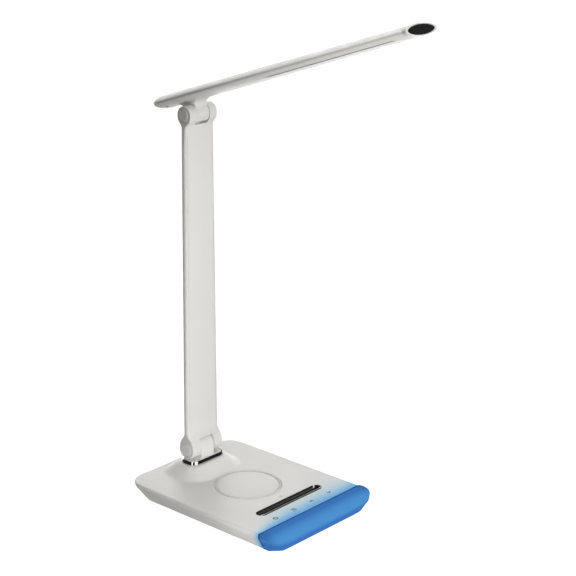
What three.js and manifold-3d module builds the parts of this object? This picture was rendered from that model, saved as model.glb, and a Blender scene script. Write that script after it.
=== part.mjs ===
// Folding desk lamp with a wireless charging base.
//
// Millimetres, +Z up, the front of the lamp faces -Y, +X is to its right.
// The pieces are laid out in a bench frame: x = 0 is the middle plane, y = 0
// is the joint line between the top of the base and the light bar at its front,
// z = 0 is the desk.  The whole lamp is then moved back along Y so that its
// origin is the middle of its footprint box, on the desk.
//
// Three rigid groups: the base, the arm (hinged to the base near the back) and
// the head (hinged to the top of the arm).  Both hinges turn about X.

import * as THREE from 'three';
import { mergeVertices } from 'three/addons/utils/BufferGeometryUtils.js';
import Module from 'manifold-3d';

const wasm = await Module();
wasm.setup();

// ---------------------------------------------------------------- dimensions

const CENTRE_Y = 29.54;         // bench y of the footprint's middle

// base
const BASE_HALF = 68.0;         // half width
const BASE_BACK = 166.4;        // bench y of the back face
const BASE_TOP = 18.0;          // top surface above the desk
const BASE_BAND = 14.0;         // where the upright side ends and the bevel starts
const BASE_UNDER = 1.0;         // underside above the desk
const BEVEL = 7.5;              // how far the bevel runs in at the underside
const BASE_CORNER = 17.0;       // plan radius of the two rear corners
const WALL = 2.2;
const GAP = 0.3;                // fitting gap between neighbouring pieces

// light bar (nose) at the front
const NOSE = 21.0;              // reach in front of the joint line
const NOSE_MID = 10.7;          // height of its front-most line
const NOSE_FOOT = 14.65;        // reach at the underside
const NOSE_SWELL = 1.3;         // how far it stands above the base top
const NOSE_CORNER_X = 25.5;
const NOSE_CORNER_Y = 9.6;
const NOSE_UNDER_X = 16.5;       // the underside is cut back further at the corners
const NOSE_UNDER_Y = 13.9;

// raised mound under the arm
const FOOT_HALF = 21.15;        // half width of the chromed trim
const FOOT_FRONT = 125.8;
const FOOT_REAR = 145.2;
const FOOT_R = 6.5;
const MOUND_TOP = 27.6;
const MOUND_SPREAD = 18.0;

// slot in the base top
const SLOT_X = 1.3;              // the slot sits a little right of the middle
const SLOT_HALF = 41.7;
const SLOT_FRONT = 20.8;
const SLOT_REAR = 31.0;
const SLOT_FLOOR = 9.4;

// hinges and arm
const LOWER_Y = 136.8;
const LOWER_Z = 40.8;
const UPPER_Y = 134.9;
const UPPER_Z = 358.0;
const KNUCKLE_LOW = 9.2;        // radii of the arm's two knuckles
const KNUCKLE_TOP = 8.3;
const ARM_HALF_LOW = 19.6;      // half width over the knuckles
const ARM_HALF_TOP = 16.85;
const ARM_THICK = 5.8;
const TAB_R = 8.9;              // fixed tab on the base
const TAB_HALF = 8.2;
const NECK_R = 8.0;             // knuckle on the head
const NECK_HALF = 7.4;
const NOTCH_LOW = 9.9;          // from the hinge axes to the notches' edges
const NOTCH_TOP = 9.2;
const CAP_LOW = 6.3;            // discs that close the ends of the hinges
const CAP_TOP = 5.8;
const PIN_R = 2.5;

// head
const HEAD_RISE = 18.4;         // degrees above level
const HEAD_LENGTH = 295.5;
const HEAD_REAR = 31.7;         // from the hinge to the rear end
const HEAD_LIFT = 16.7;         // hinge to the head's middle line
const HEAD_HALF = 19.7;
const HEAD_THICK_REAR = 6.25;   // half thickness
const HEAD_THICK_FRONT = 5.3;
const HEAD_SLANT = 15.0;        // front face leans back
const DIFF_NEAR = 118.0;        // diffuser, from the rear end
const DIFF_FAR = 287.0;
const DIFF_HALF = 14.0;

// ------------------------------------------------------------------ materials

const paint = (color, roughness, metalness = 0) =>
  new THREE.MeshStandardMaterial({ color, roughness, metalness });
const WHITE = 0xe2e0da;
const BLACK = 0x0c0c0e;

// -------------------------------------------------------------------- helpers

function toSolid(geometry) {
  let g = geometry.clone();
  g.deleteAttribute('normal');
  g.deleteAttribute('uv');
  g = mergeVertices(g, 1e-4);
  return new wasm.Manifold(new wasm.Mesh({
    numProp: 3,
    vertProperties: new Float32Array(g.attributes.position.array),
    triVerts: new Uint32Array(g.index.array),
  }));
}

function toGeometry(solid) {
  const m = solid.getMesh();
  const g = new THREE.BufferGeometry();
  g.setAttribute('position', new THREE.BufferAttribute(new Float32Array(m.vertProperties), 3));
  g.setIndex(new THREE.BufferAttribute(new Uint32Array(m.triVerts), 1));
  g.computeVertexNormals();
  return g;
}

const moved = (geometry, x, y, z) => geometry.translate(x, y, z);

// block between two corners
function block(x0, x1, y0, y1, z0, z1) {
  return moved(new THREE.BoxGeometry(x1 - x0, y1 - y0, z1 - z0),
    (x0 + x1) / 2, (y0 + y1) / 2, (z0 + z1) / 2);
}

// round bar along Z, X or Y
function rodZ(r, z0, z1, x = 0, y = 0, n = 24, r2 = r) {
  const g = new THREE.CylinderGeometry(r2, r, z1 - z0, n);
  g.rotateX(Math.PI / 2);
  return moved(g, x, y, (z0 + z1) / 2);
}
function rodX(r, x0, x1, y = 0, z = 0, n = 24, phase = 0) {
  const g = new THREE.CylinderGeometry(r, r, x1 - x0, n);
  if (phase) g.rotateY(phase);
  g.rotateZ(-Math.PI / 2);
  return moved(g, (x0 + x1) / 2, y, z);
}
function rodY(r, y0, y1, x = 0, z = 0, n = 24) {
  return moved(new THREE.CylinderGeometry(r, r, y1 - y0, n), x, (y0 + y1) / 2, z);
}

// closed skin through rings of equally many points; the ends are capped
function loft(rings) {
  const n = rings[0].length;
  const pos = [];
  const idx = [];
  for (const ring of rings) for (const p of ring) pos.push(p.x, p.y, p.z);
  for (let k = 0; k + 1 < rings.length; k++) {
    for (let i = 0; i < n; i++) {
      const a = k * n + i, b = k * n + (i + 1) % n, c = a + n, d = b + n;
      idx.push(a, b, d, a, d, c);
    }
  }
  const cap = (ring, base, flip) => {
    const mid = new THREE.Vector3();
    for (const p of ring) mid.add(p);
    mid.divideScalar(n);
    pos.push(mid.x, mid.y, mid.z);
    const m = pos.length / 3 - 1;
    for (let i = 0; i < n; i++) {
      const a = base + i, b = base + (i + 1) % n;
      if (flip) idx.push(m, b, a); else idx.push(m, a, b);
    }
  };
  cap(rings[0], 0, true);
  cap(rings[rings.length - 1], (rings.length - 1) * n, false);
  const g = new THREE.BufferGeometry();
  g.setAttribute('position', new THREE.Float32BufferAttribute(pos, 3));
  g.setIndex(idx);
  // turn the skin the right way out
  let volume = 0;
  const v = (i) => new THREE.Vector3(pos[3 * i], pos[3 * i + 1], pos[3 * i + 2]);
  for (let i = 0; i < idx.length; i += 3) {
    volume += v(idx[i]).dot(v(idx[i + 1]).cross(v(idx[i + 2]))) / 6;
  }
  if (volume < 0) {
    for (let i = 0; i < idx.length; i += 3) {
      const t = idx[i + 1]; idx[i + 1] = idx[i + 2]; idx[i + 2] = t;
    }
    g.setIndex(idx);
  }
  return g;
}

// rounded rectangle in plan, counter-clockwise
function roundedPlan(x0, x1, y0, y1, r, seg = 6) {
  const pts = [];
  const corner = (cx, cy, a0) => {
    for (let i = 0; i <= seg; i++) {
      const a = a0 + (i / seg) * Math.PI / 2;
      pts.push(new THREE.Vector2(cx + r * Math.cos(a), cy + r * Math.sin(a)));
    }
  };
  corner(x1 - r, y0 + r, -Math.PI / 2);
  corner(x1 - r, y1 - r, 0);
  corner(x0 + r, y1 - r, Math.PI / 2);
  corner(x0 + r, y0 + r, Math.PI);
  return pts;
}

const plate = (pts, z0, z1) =>
  moved(new THREE.ExtrudeGeometry(new THREE.Shape(pts), { depth: z1 - z0, bevelEnabled: false }), 0, 0, z0);

const ringAt = (pts, z) => pts.map((p) => new THREE.Vector3(p.x, p.y, z));

function cut(whole, ...tools) {
  let s = whole instanceof THREE.BufferGeometry ? toSolid(whole) : whole;
  for (const t of tools) s = s.subtract(t instanceof THREE.BufferGeometry ? toSolid(t) : t);
  return s;
}
function join(whole, ...others) {
  let s = whole instanceof THREE.BufferGeometry ? toSolid(whole) : whole;
  for (const t of others) s = s.add(t instanceof THREE.BufferGeometry ? toSolid(t) : t);
  return s;
}
function common(a, b) {
  return (a instanceof THREE.BufferGeometry ? toSolid(a) : a)
    .intersect(b instanceof THREE.BufferGeometry ? toSolid(b) : b);
}

function part(group, name, shape, material) {
  const geometry = shape instanceof THREE.BufferGeometry ? shape : toGeometry(shape);
  const mesh = new THREE.Mesh(geometry, material);
  mesh.name = name;
  group.add(mesh);
  return mesh;
}

// ----------------------------------------------------------------------- base

const base = new THREE.Group();

// plan of the base: square at the joint line, rounded at the back
function basePlan(inset, front, corner, seg = 7) {
  const w = BASE_HALF - inset, back = BASE_BACK - inset, r = corner;
  const pts = [new THREE.Vector2(-w, front), new THREE.Vector2(w, front)];
  for (let i = 0; i <= seg; i++) {
    const a = (i / seg) * Math.PI / 2;
    pts.push(new THREE.Vector2(w - r + r * Math.cos(a), back - r + r * Math.sin(a)));
  }
  for (let i = 0; i <= seg; i++) {
    const a = Math.PI / 2 + (i / seg) * Math.PI / 2;
    pts.push(new THREE.Vector2(-w + r + r * Math.cos(a), back - r + r * Math.sin(a)));
  }
  return pts;
}
const bevelAt = (z) => BEVEL * (BASE_BAND - z) / (BASE_BAND - BASE_UNDER);

// mound: the foot's outline spread outwards down a smooth shoulder
function mound(rise, top, spread, grow, seg = 5) {
  const rings = [];
  const steps = 8;
  for (let i = 0; i <= steps; i++) {
    const q = 1 - i / steps;
    const off = grow + spread * q;
    const z = top - rise * (0.5 - 0.5 * Math.cos(Math.PI * q));
    rings.push(ringAt(roundedPlan(-FOOT_HALF - off, FOOT_HALF + off,
      FOOT_FRONT - off, FOOT_REAR + off, FOOT_R + off, seg), z));
  }
  rings.unshift(rings[0].map((p) => new THREE.Vector3(p.x, p.y, p.z - 1.6)));
  return loft(rings);
}

{
  const outer = loft([
    [BASE_UNDER, BEVEL], [BASE_BAND - 0.9, bevelAt(BASE_BAND - 0.9)], [BASE_BAND + 0.5, 0.06],
    [BASE_TOP - 1.4, 0], [BASE_TOP - 0.7, 0.2], [BASE_TOP - 0.2, 0.62], [BASE_TOP, 1.4],
  ].map(([z, inset]) => ringAt(basePlan(inset, 0, BASE_CORNER), z)));
  const inner = loft([
    [BASE_UNDER - 1, BEVEL + WALL + 0.6], [BASE_BAND, WALL + 0.1], [BASE_TOP - WALL, WALL],
  ].map(([z, inset]) => ringAt(basePlan(inset, -1, BASE_CORNER - WALL), z)));
  let shell = join(outer, mound(MOUND_TOP - BASE_TOP, MOUND_TOP, MOUND_SPREAD, 0.4));
  shell = cut(shell, inner,
    mound(MOUND_TOP - BASE_TOP, MOUND_TOP - WALL, MOUND_SPREAD - 1.2, -1.2));
  // window for the slot
  shell = cut(shell, plate(roundedPlan(SLOT_X - SLOT_HALF - GAP, SLOT_X + SLOT_HALF + GAP,
    SLOT_FRONT - GAP, SLOT_REAR + GAP, 5.39, 6), 12, 22));
  // groove for the grip ring over the charging coil
  shell = cut(shell, cut(rodZ(31.5, BASE_TOP - 0.7, BASE_TOP + 2, 0, 76, 48), rodZ(28.5, BASE_TOP - 2, BASE_TOP + 3, 0, 76, 48)));
  // bosses for the four case screws
  for (const [x, y] of [[-50, 32], [50, 32], [-50, 126], [50, 126]]) {
    shell = join(shell, rodZ(4, 3.4, BASE_TOP - 1.6, x, y, 16));
    shell = cut(shell, rodZ(1.7, 2.4, 13, x, y, 12));
  }
  // two bosses for the screws of the hinge foot
  for (const x of [-15, 15]) {
    shell = cut(shell, rodZ(1.9, 20, 32, x, 135.4, 12));
  }
  // recess for the power inlet in the rear bevel
  shell = cut(shell, block(-7, 7, 156.5, 170, 3.6, 13.4));
  part(base, 'base_top_shell', shell, paint(WHITE, 0.42));
}

{
  // plate that closes the underside
  let cover = toSolid(plate(basePlan(BEVEL + WALL + 0.9, 0.5, 13, 5), BASE_UNDER, BASE_UNDER + 2));
  for (const [x, y] of [[-46, 12], [46, 12], [-46, 142], [46, 142]]) {
    cover = cut(cover, rodZ(6.3, 0, BASE_UNDER + 1, x, y, 24));
  }
  for (const [x, y] of [[-50, 32], [50, 32], [-50, 126], [50, 126]]) {
    cover = cut(cover, rodZ(3.3, 0, BASE_UNDER + 1.1, x, y, 16), rodZ(1.7, 0, 5, x, y, 12));
  }
  part(base, 'base_bottom_cover', cover, paint(WHITE, 0.55));
}

[['front_left', -46, 12], ['front_right', 46, 12], ['rear_left', -46, 142], ['rear_right', 46, 142]]
  .forEach(([where, x, y]) => part(base, `rubber_foot_${where}`,
    rodZ(5.6, 0, BASE_UNDER + 0.7, x, y, 24, 6.0), paint(0x2b2b2d, 0.9)));

[['front_left', -50, 32], ['front_right', 50, 32], ['rear_left', -50, 126], ['rear_right', 50, 126]]
  .forEach(([where, x, y]) => part(base, `base_screw_${where}`,
    join(rodZ(3.0, BASE_UNDER + 0.1, BASE_UNDER + 0.8, x, y, 16), rodZ(1.35, BASE_UNDER + 0.7, 11.5, x, y, 12)),
    paint(0x9a9a9c, 0.35, 1)));

// section of the nose at one station, from the joint line over the front and back
function noseSection(x, shrink, front) {
  const half = BASE_HALF - shrink;
  const reach = NOSE - shrink;
  const ax = Math.min(Math.abs(x), half);
  const rx = NOSE_CORNER_X;
  let cutBack = 0;
  if (ax > half - rx) {
    const c = 1 - (half - ax) / rx;
    cutBack = NOSE_CORNER_Y * (1 - Math.sqrt(Math.max(0, 1 - c * c)));
  }
  const D = reach - cutBack;
  const zb = (ax > half - BEVEL
    ? BASE_UNDER + (BASE_BAND - BASE_UNDER) * (ax - (half - BEVEL)) / BEVEL
    : BASE_UNDER) + shrink;
  const zt = BASE_TOP - shrink;
  const zm = zb + (NOSE_MID - BASE_UNDER) * (zt - zb) / (BASE_TOP - BASE_UNDER);
  let foot = D - (NOSE - NOSE_FOOT) * D / NOSE * Math.min(1, (zm - zb) / 5);
  if (ax > half - NOSE_UNDER_X) foot -= NOSE_UNDER_Y * Math.pow(1 - (half - ax) / NOSE_UNDER_X, 1.1);
  foot = Math.max(foot, front + 0.7);
  const pts = [];
  const up = 9, down = 6;
  for (let i = up; i >= 0; i--) {            // top edge to front-most point
    const a = (i / up) * Math.PI / 2;
    const d = i === up ? front : Math.max(front, D * Math.pow(Math.cos(a), 0.625));
    const z = zm + (zt - zm) * Math.pow(Math.sin(a), 0.625)
      + NOSE_SWELL * (D / NOSE) * Math.pow(Math.max(0, Math.sin(Math.PI * Math.min(1, d / D))), 0.8);
    pts.push([d, z]);
  }
  for (let i = 1; i <= down; i++) {          // down and under
    const t = i / down;
    pts.push([foot + (D - foot) * Math.pow(1 - Math.pow(t, 1.3), 1 / 1.3), zm - t * (zm - zb)]);
  }
  pts.push([front, zb]);
  return pts.map(([d, z]) => new THREE.Vector3(x, -d, z));
}

{
  const stations = [];
  const xs = [0, 26, 42.5, 47, 51, 54.5, 57.5, 60.5, 62.5, 64.5, 66, 67.2, 68];
  for (const x of xs.slice().reverse()) stations.push(-x);
  for (const x of xs.slice(1)) stations.push(x);
  const nose = loft(stations.map((x) => noseSection(x, 0, GAP)));
  const hollow = [];
  for (const x of [-64, -62, -59, -55, -50, -43, 0, 43, 50, 55, 59, 62, 64]) {
    hollow.push(noseSection(x * 65.6 / 68 , 2.4, -2));
  }
  let bar = cut(nose, loft(hollow));
  // tongues that hook inside the base
  for (const x of [-40, 40]) bar = join(bar, block(x - 7, x + 7, -7, -0.5, 2.4, 5.2), block(x - 7, x + 7, -1, 5, 3.5, 5.2));
  part(base, 'front_light_bar', bar, paint(0x3f86cf, 0.35));
}

{
  // strip of coloured lamps inside the bar
  let strip = toSolid(block(-50, 50, -3.2, -2.0, 6.6, 13.4));
  for (const x of [-44, -33, -22, -11, 0, 11, 22, 33, 44]) {
    strip = join(strip, block(x - 2.5, x + 2.5, -4.8, -3.0, 7.6, 12.4));
  }
  part(base, 'rgb_led_strip', strip, paint(0xdedfe2, 0.5));
}

{
  // lining of the slot, flush with the base top
  let liner = join(
    plate(roundedPlan(SLOT_X - SLOT_HALF, SLOT_X + SLOT_HALF, SLOT_FRONT, SLOT_REAR, 5.09, 8), SLOT_FLOOR - 1.4, BASE_TOP - 0.05),
    plate(roundedPlan(SLOT_X - SLOT_HALF - 2.4, SLOT_X + SLOT_HALF + 2.4, SLOT_FRONT - 2.4, SLOT_REAR + 2.4, 7.4, 6), 14.0, 15.4));
  const well = loft([
    ringAt(roundedPlan(SLOT_X - SLOT_HALF + 1.3, SLOT_X + SLOT_HALF - 1.3, SLOT_FRONT + 1.9, SLOT_REAR - 0.7, 3.79, 8), SLOT_FLOOR),
    ringAt(roundedPlan(SLOT_X - SLOT_HALF + 1.3, SLOT_X + SLOT_HALF - 1.3, SLOT_FRONT + 1.9, SLOT_REAR - 0.7, 3.79, 8), BASE_TOP - 1.2),
    ringAt(roundedPlan(SLOT_X - SLOT_HALF + 0.7, SLOT_X + SLOT_HALF - 0.7, SLOT_FRONT + 0.8, SLOT_REAR - 0.5, 4.4, 8), BASE_TOP + 0.2),
  ]);
  liner = cut(liner, well);
  part(base, 'phone_slot_liner', liner, paint(BLACK, 0.12));
}

part(base, 'charging_pad_ring', cut(rodZ(31.1, BASE_TOP - 0.4, BASE_TOP + 0.3, 0, 76, 48),
  rodZ(28.9, BASE_TOP - 2, BASE_TOP + 2, 0, 76, 48)), paint(0xd6d5d1, 0.8));

// charging coil, its ferrite, and the charger board below them
part(base, 'charging_coil', cut(rodZ(22, 14.1, 15.4, 0, 76, 40), rodZ(10, 12, 18, 0, 76, 32)),
  paint(0xb0683a, 0.4, 0.9));
part(base, 'coil_ferrite', rodZ(25, 13.0, 13.8, 0, 76, 32), paint(0x3a3a3c, 0.8));
{
  let board = toSolid(block(-24, 24, 58, 94, 9.2, 10.8));
  board = join(board, block(-18, -8, 64, 74, 10.6, 12.4), block(4, 16, 62, 70, 10.6, 12.2),
    block(2, 10, 78, 88, 10.6, 12.6), block(-16, -10, 80, 88, 10.6, 12.0));
  part(base, 'charger_board', board, paint(0x1f5a3a, 0.5));
}

// steel weight on the underside plate
part(base, 'ballast_plate', plate(roundedPlan(-44, 44, 44, 118, 5, 4), 3.3, 7.6), paint(0x77797c, 0.45, 0.9));

{
  let board = toSolid(block(-32, 32, 122, 152.5, 4.0, 5.6));
  board = join(board, block(-26, -14, 126, 138, 5.4, 8.4), block(12, 20, 126, 134, 5.4, 10),
    block(-8, 6, 124, 130, 5.4, 7.2));
  part(base, 'control_board', board, paint(0x1f5a3a, 0.5));
}

{
  // four touch pads on one board under the marks
  let board = toSolid(block(-46, 46, 3.2, 16.6, 12.6, 14.0));
  for (const x of [-34.8, -10.7, 13.3, 37.6]) board = join(board, rodZ(4.2, 13.8, 15.4, x, 9.7, 16));
  part(base, 'touch_sensor_board', board, paint(0x1f5a3a, 0.5));
}

{
  // power socket, standing on the control board and facing backwards
  let jack = toSolid(block(-4.8, 4.8, 145, 156, 5.95, 13.1));
  jack = cut(jack, rodY(3.0, 148, 158, 0, 9.4, 20));
  jack = join(jack, rodY(0.9, 147, 155.4, 0, 9.4, 12));
  part(base, 'power_inlet', jack, paint(0x161618, 0.35));
}

{
  // chromed trim round the hinge foot
  const outer = loft([
    [MOUND_TOP + GAP, 0.15], [MOUND_TOP + GAP + 0.3, 0], [MOUND_TOP + 2.7, 0], [MOUND_TOP + 3.1, 0.35],
  ].map(([z, o]) => ringAt(roundedPlan(-FOOT_HALF + o, FOOT_HALF - o, FOOT_FRONT + o, FOOT_REAR - o, FOOT_R - o, 7), z)));
  const inner = plate(roundedPlan(-FOOT_HALF + 1.3, FOOT_HALF - 1.3, FOOT_FRONT + 1.3, FOOT_REAR - 1.3, FOOT_R - 1.3, 7), 26, 34);
  part(base, 'chrome_foot_trim', cut(outer, inner), paint(0xd8dadd, 0.08, 1));
}

{
  // foot block with the fixed tab of the lower hinge
  const o = 1.3 + GAP;
  const block0 = loft([
    [MOUND_TOP + GAP, 0], [MOUND_TOP + 3.1, 0], [MOUND_TOP + 3.5, 0.4],
  ].map(([z, q]) => ringAt(roundedPlan(-FOOT_HALF + o + q, FOOT_HALF - o - q,
    FOOT_FRONT + o + q, FOOT_REAR - o - q, FOOT_R - o - q, 6), z)));
  const r = TAB_R;
  let tab = join(rodX(r, -TAB_HALF, TAB_HALF, LOWER_Y, LOWER_Z, 40),
    block(-TAB_HALF, TAB_HALF, LOWER_Y - r, LOWER_Y + 5.6, MOUND_TOP + 2, LOWER_Z));
  tab = common(tab, block(-TAB_HALF, TAB_HALF, LOWER_Y - r - 1, LOWER_Y + 5.6, 20, 60));
  let foot = join(block0, tab);
  foot = cut(foot, rodX(PIN_R + GAP, -TAB_HALF - 1, TAB_HALF + 1, LOWER_Y, LOWER_Z, 24));
  for (const x of [-15, 15]) foot = cut(foot, rodZ(1.6, 26, 30.2, x, 135.4, 12));
  part(base, 'hinge_foot', foot, paint(WHITE, 0.42));
}

[['left', -15], ['right', 15]].forEach(([where, x]) => part(base, `foot_screw_${where}`,
  join(rodZ(3.2, 23.0, 25.1, x, 135.4, 16), rodZ(1.3, 25.0, 29.9, x, 135.4, 12)), paint(0x9a9a9c, 0.35, 1)));

// ------------------------------------------------------------------------ arm
// local frame: origin on the lower hinge axis, +Z runs to the upper hinge axis

const ARM_LENGTH = Math.hypot(UPPER_Y - LOWER_Y, UPPER_Z - LOWER_Z);
const ARM_LEAN = Math.atan2(LOWER_Y - UPPER_Y, UPPER_Z - LOWER_Z);
const arm = new THREE.Group();
arm.position.set(0, LOWER_Y, LOWER_Z);
arm.rotation.x = ARM_LEAN;

const armHalf = (z) => ARM_HALF_LOW + (ARM_HALF_TOP - ARM_HALF_LOW) * z / ARM_LENGTH;
// the plate between the knuckles is a little wider, with fully rounded long edges
const plateHalf = (z) => 20.75 - 0.0075 * z;
const ease = (t) => { const q = Math.min(1, Math.max(0, t)); return q * q * (3 - 2 * q); };
const onPlate = (z) => ease((z - 8) / 12) * ease((ARM_LENGTH - 6 - z) / 10);

// (y, z) outline run across x, its long edges rounded by soft(z) out to half(z)
function softSlab(outline, half, soft, steps = 3) {
  const n = outline.length;
  const normals = outline.map((p, i) => {
    const a = outline[(i + n - 1) % n], b = outline[(i + 1) % n];
    const e1 = p.clone().sub(a).normalize(), e2 = b.clone().sub(p).normalize();
    const k = 1 + e1.dot(e2);
    return new THREE.Vector2(-(e1.y + e2.y) / k, (e1.x + e2.x) / k);   // inwards
  });
  const rings = [];
  for (const s of [-1, 1]) {
    for (let k = 0; k <= steps; k++) {
      const a = (s < 0 ? k : steps - k) / steps * Math.PI / 2;
      rings.push(outline.map((p, i) => {
        const r = soft(p.y);
        const d = r * (1 - Math.sin(a));
        const y = p.x + normals[i].x * d, z = p.y + normals[i].y * d;
        return new THREE.Vector3(s * (half(p.y) - r * (1 - Math.cos(a))), y, z);
      }));
    }
  }
  const pos = [], idx = [];
  for (const ring of rings) for (const p of ring) pos.push(p.x, p.y, p.z);
  for (let k = 0; k + 1 < rings.length; k++) {
    for (let i = 0; i < n; i++) {
      const a = k * n + i, b = k * n + (i + 1) % n, c = a + n, d = b + n;
      idx.push(a, b, d, a, d, c);
    }
  }
  for (const [ring, base, flip] of [[rings[0], 0, true], [rings[rings.length - 1], (rings.length - 1) * n, false]]) {
    const faces = THREE.ShapeUtils.triangulateShape(ring.map((p) => new THREE.Vector2(p.y, p.z)), []);
    for (const [a, b, c] of faces) {
      if (flip) idx.push(base + a, base + c, base + b); else idx.push(base + a, base + b, base + c);
    }
  }
  const g = new THREE.BufferGeometry();
  g.setAttribute('position', new THREE.Float32BufferAttribute(pos, 3));
  g.setIndex(idx);
  return g;
}

{
  // side outline (y, z): round knuckles running out into a thin plate
  const t = ARM_THICK / 2, L = ARM_LENGTH;
  const deg = Math.PI / 180;
  const arc = (r, cz, a0, a1, n) => {
    const out = [];
    for (let i = 0; i <= n; i++) {
      const a = (a0 + (a1 - a0) * i / n) * deg;
      out.push(new THREE.Vector2(r * Math.cos(a), cz + r * Math.sin(a)));
    }
    return out;
  };
  const low = [[8.95, 3.4], [8.45, 5.4], [7.85, 7.0], [6.5, 9.4], [5.1, 11.3], [3.95, 12.9], [3.25, 14.4], [t, 16.6]]
    .map(([y, z]) => new THREE.Vector2(y, z));
  const top = [[t, L - 12.0], [3.4, L - 10.2], [4.6, L - 8.6], [6.0, L - 7.0], [7.1, L - 5.4], [7.85, L - 3.8]]
    .map(([y, z]) => new THREE.Vector2(y, z));
  const middle = [];
  for (let i = 1; i < 8; i++) middle.push(new THREE.Vector2(t, 16.6 + (L - 28.6) * i / 8));
  const right = [...low, ...middle, ...top];
  const side = [...arc(KNUCKLE_LOW, 0, 171, 369, 22), ...right, ...arc(KNUCKLE_TOP, L, -15, 195, 22),
    ...right.slice().reverse().map((p) => new THREE.Vector2(-p.x, p.y))];
  const slab = softSlab(side,
    (z) => armHalf(z) + (plateHalf(z) - armHalf(z)) * onPlate(z),
    (z) => 1.0 + (t - 0.08 - 1.0) * onPlate(z));
  let shell = cut(slab,
    block(-TAB_HALF - GAP, TAB_HALF + GAP, -15, 15, -15, NOTCH_LOW),
    block(-NECK_HALF - GAP, NECK_HALF + GAP, -15, 15, L - NOTCH_TOP, L + 15));
  for (const [z, inner, cap] of [[0, TAB_HALF + GAP, CAP_LOW], [L, NECK_HALF + GAP, CAP_TOP]]) {
    const w = armHalf(z);
    shell = cut(shell,
      rodX(PIN_R + GAP, -25, 25, 0, z, 24),
      rodX(cap + GAP, w - 1.2, 25, 0, z, 32), rodX(cap + GAP, -25, -w + 1.2, 0, z, 32),
      rodX(5.0, w - 4.4, 25, 0, z, 24), rodX(5.0, -25, -w + 4.4, 0, z, 24),
      rodX(6.2, inner - 1, inner + 1.2, 0, z, 28), rodX(6.2, -inner - 1.2, -inner + 1, 0, z, 28));
  }
  // recess for the front cover, and the cable channel behind it
  const panel = (z0, z1, inset, y0, y1) => {
    const shape = new THREE.Shape([
      new THREE.Vector2(-plateHalf(z0) + inset, z0), new THREE.Vector2(plateHalf(z0) - inset, z0),
      new THREE.Vector2(plateHalf(z1) - inset, z1), new THREE.Vector2(-plateHalf(z1) + inset, z1)]);
    const g = new THREE.ExtrudeGeometry(shape, { depth: y1 - y0, bevelEnabled: false });
    return g.applyMatrix4(new THREE.Matrix4().set(1, 0, 0, 0, 0, 0, -1, y1, 0, 1, 0, 0, 0, 0, 0, 1));
  };
  shell = cut(shell, panel(20, L - 14.4, 3.0, -6, -1.2),
    block(-5.5, 5.5, -3, 1.0, 24, L - 20),
    block(-3.5, 3.5, -0.9, 1.0, 5, L - 5));
  part(arm, 'arm_rear_shell', shell, paint(WHITE, 0.42));
  part(arm, 'arm_front_cover', toSolid(panel(20 + GAP, L - 14.4 - GAP, 3.0 + GAP, -t, -1.5)), paint(WHITE, 0.42));
  part(arm, 'arm_ribbon_cable', toSolid(block(-2.8, 2.8, -0.3, 0.3, 14, L - 14)), paint(0x2c2c2f, 0.6));
}

for (const [label, z, inner, cap] of [['lower', 0, TAB_HALF + GAP, CAP_LOW], ['upper', ARM_LENGTH, NECK_HALF + GAP, CAP_TOP]]) {
  const w = armHalf(z);
  const steel = () => paint(0x8d9093, 0.3, 1);
  // round head on the left, six-sided nut on the right
  const bolt = join(rodX(4.2, -w + 1.6, -w + 4.0, 0, z, 24), rodX(PIN_R, -w + 3.8, w - 1.7, 0, z, 24));
  part(arm, `${label}_hinge_bolt`, cut(bolt, block(-w, -w + 2.4, -0.5, 0.5, z - 3, z + 3)), steel());
  part(arm, `${label}_hinge_nut`, cut(rodX(4.4, w - 4.0, w - 1.9, 0, z, 6), rodX(PIN_R + GAP, 0, 30, 0, z, 24)), steel());
  for (const [where, s] of [['left', -1], ['right', 1]]) {
    const a = s * (inner + 0.1), b = s * (inner + 0.9);
    const ring = rodX(5.9, Math.min(a, b), Math.max(a, b), 0, z, 28);
    part(arm, `${label}_washer_${where}`, cut(ring, rodX(PIN_R + GAP, -30, 30, 0, z, 24)), paint(0xbfc1c4, 0.35, 1));
    const c = s * (w - 0.85), d = s * (w + 0.35);
    part(arm, `${label}_hinge_cap_${where}`, toSolid(rodX(cap, Math.min(c, d), Math.max(c, d), 0, z, 32)),
      paint(WHITE, 0.42));
  }
}

// ----------------------------------------------------------------------- head
// local frame: origin on the upper hinge axis, -Y runs along the head to its
// front end, +Z is square to the head, upwards

const head = new THREE.Group();
head.position.set(0, 0, ARM_LENGTH);
head.rotation.x = -HEAD_RISE * Math.PI / 180 - ARM_LEAN;
arm.add(head);

const HEAD_FRONT = HEAD_REAR - HEAD_LENGTH;               // local y of the front end
const thickAt = (y) => HEAD_THICK_REAR
  + (HEAD_THICK_FRONT - HEAD_THICK_REAR) * (HEAD_REAR - y) / HEAD_LENGTH;

// lens-shaped section, counter-clockwise in x, z
function lens(y, half, thick, slant = 0, n = 28) {
  const ring = [];
  for (let i = 0; i < n; i++) {
    const a = (i / n) * 2 * Math.PI;
    const c = Math.cos(a), s = Math.sin(a);
    const x = half * Math.sign(c) * Math.pow(Math.abs(c), 1.08);
    const z = thick * Math.sign(s) * Math.pow(Math.abs(s), 1.08);
    ring.push(new THREE.Vector3(x, y + z * slant, HEAD_LIFT + z));
  }
  return ring;
}

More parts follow.
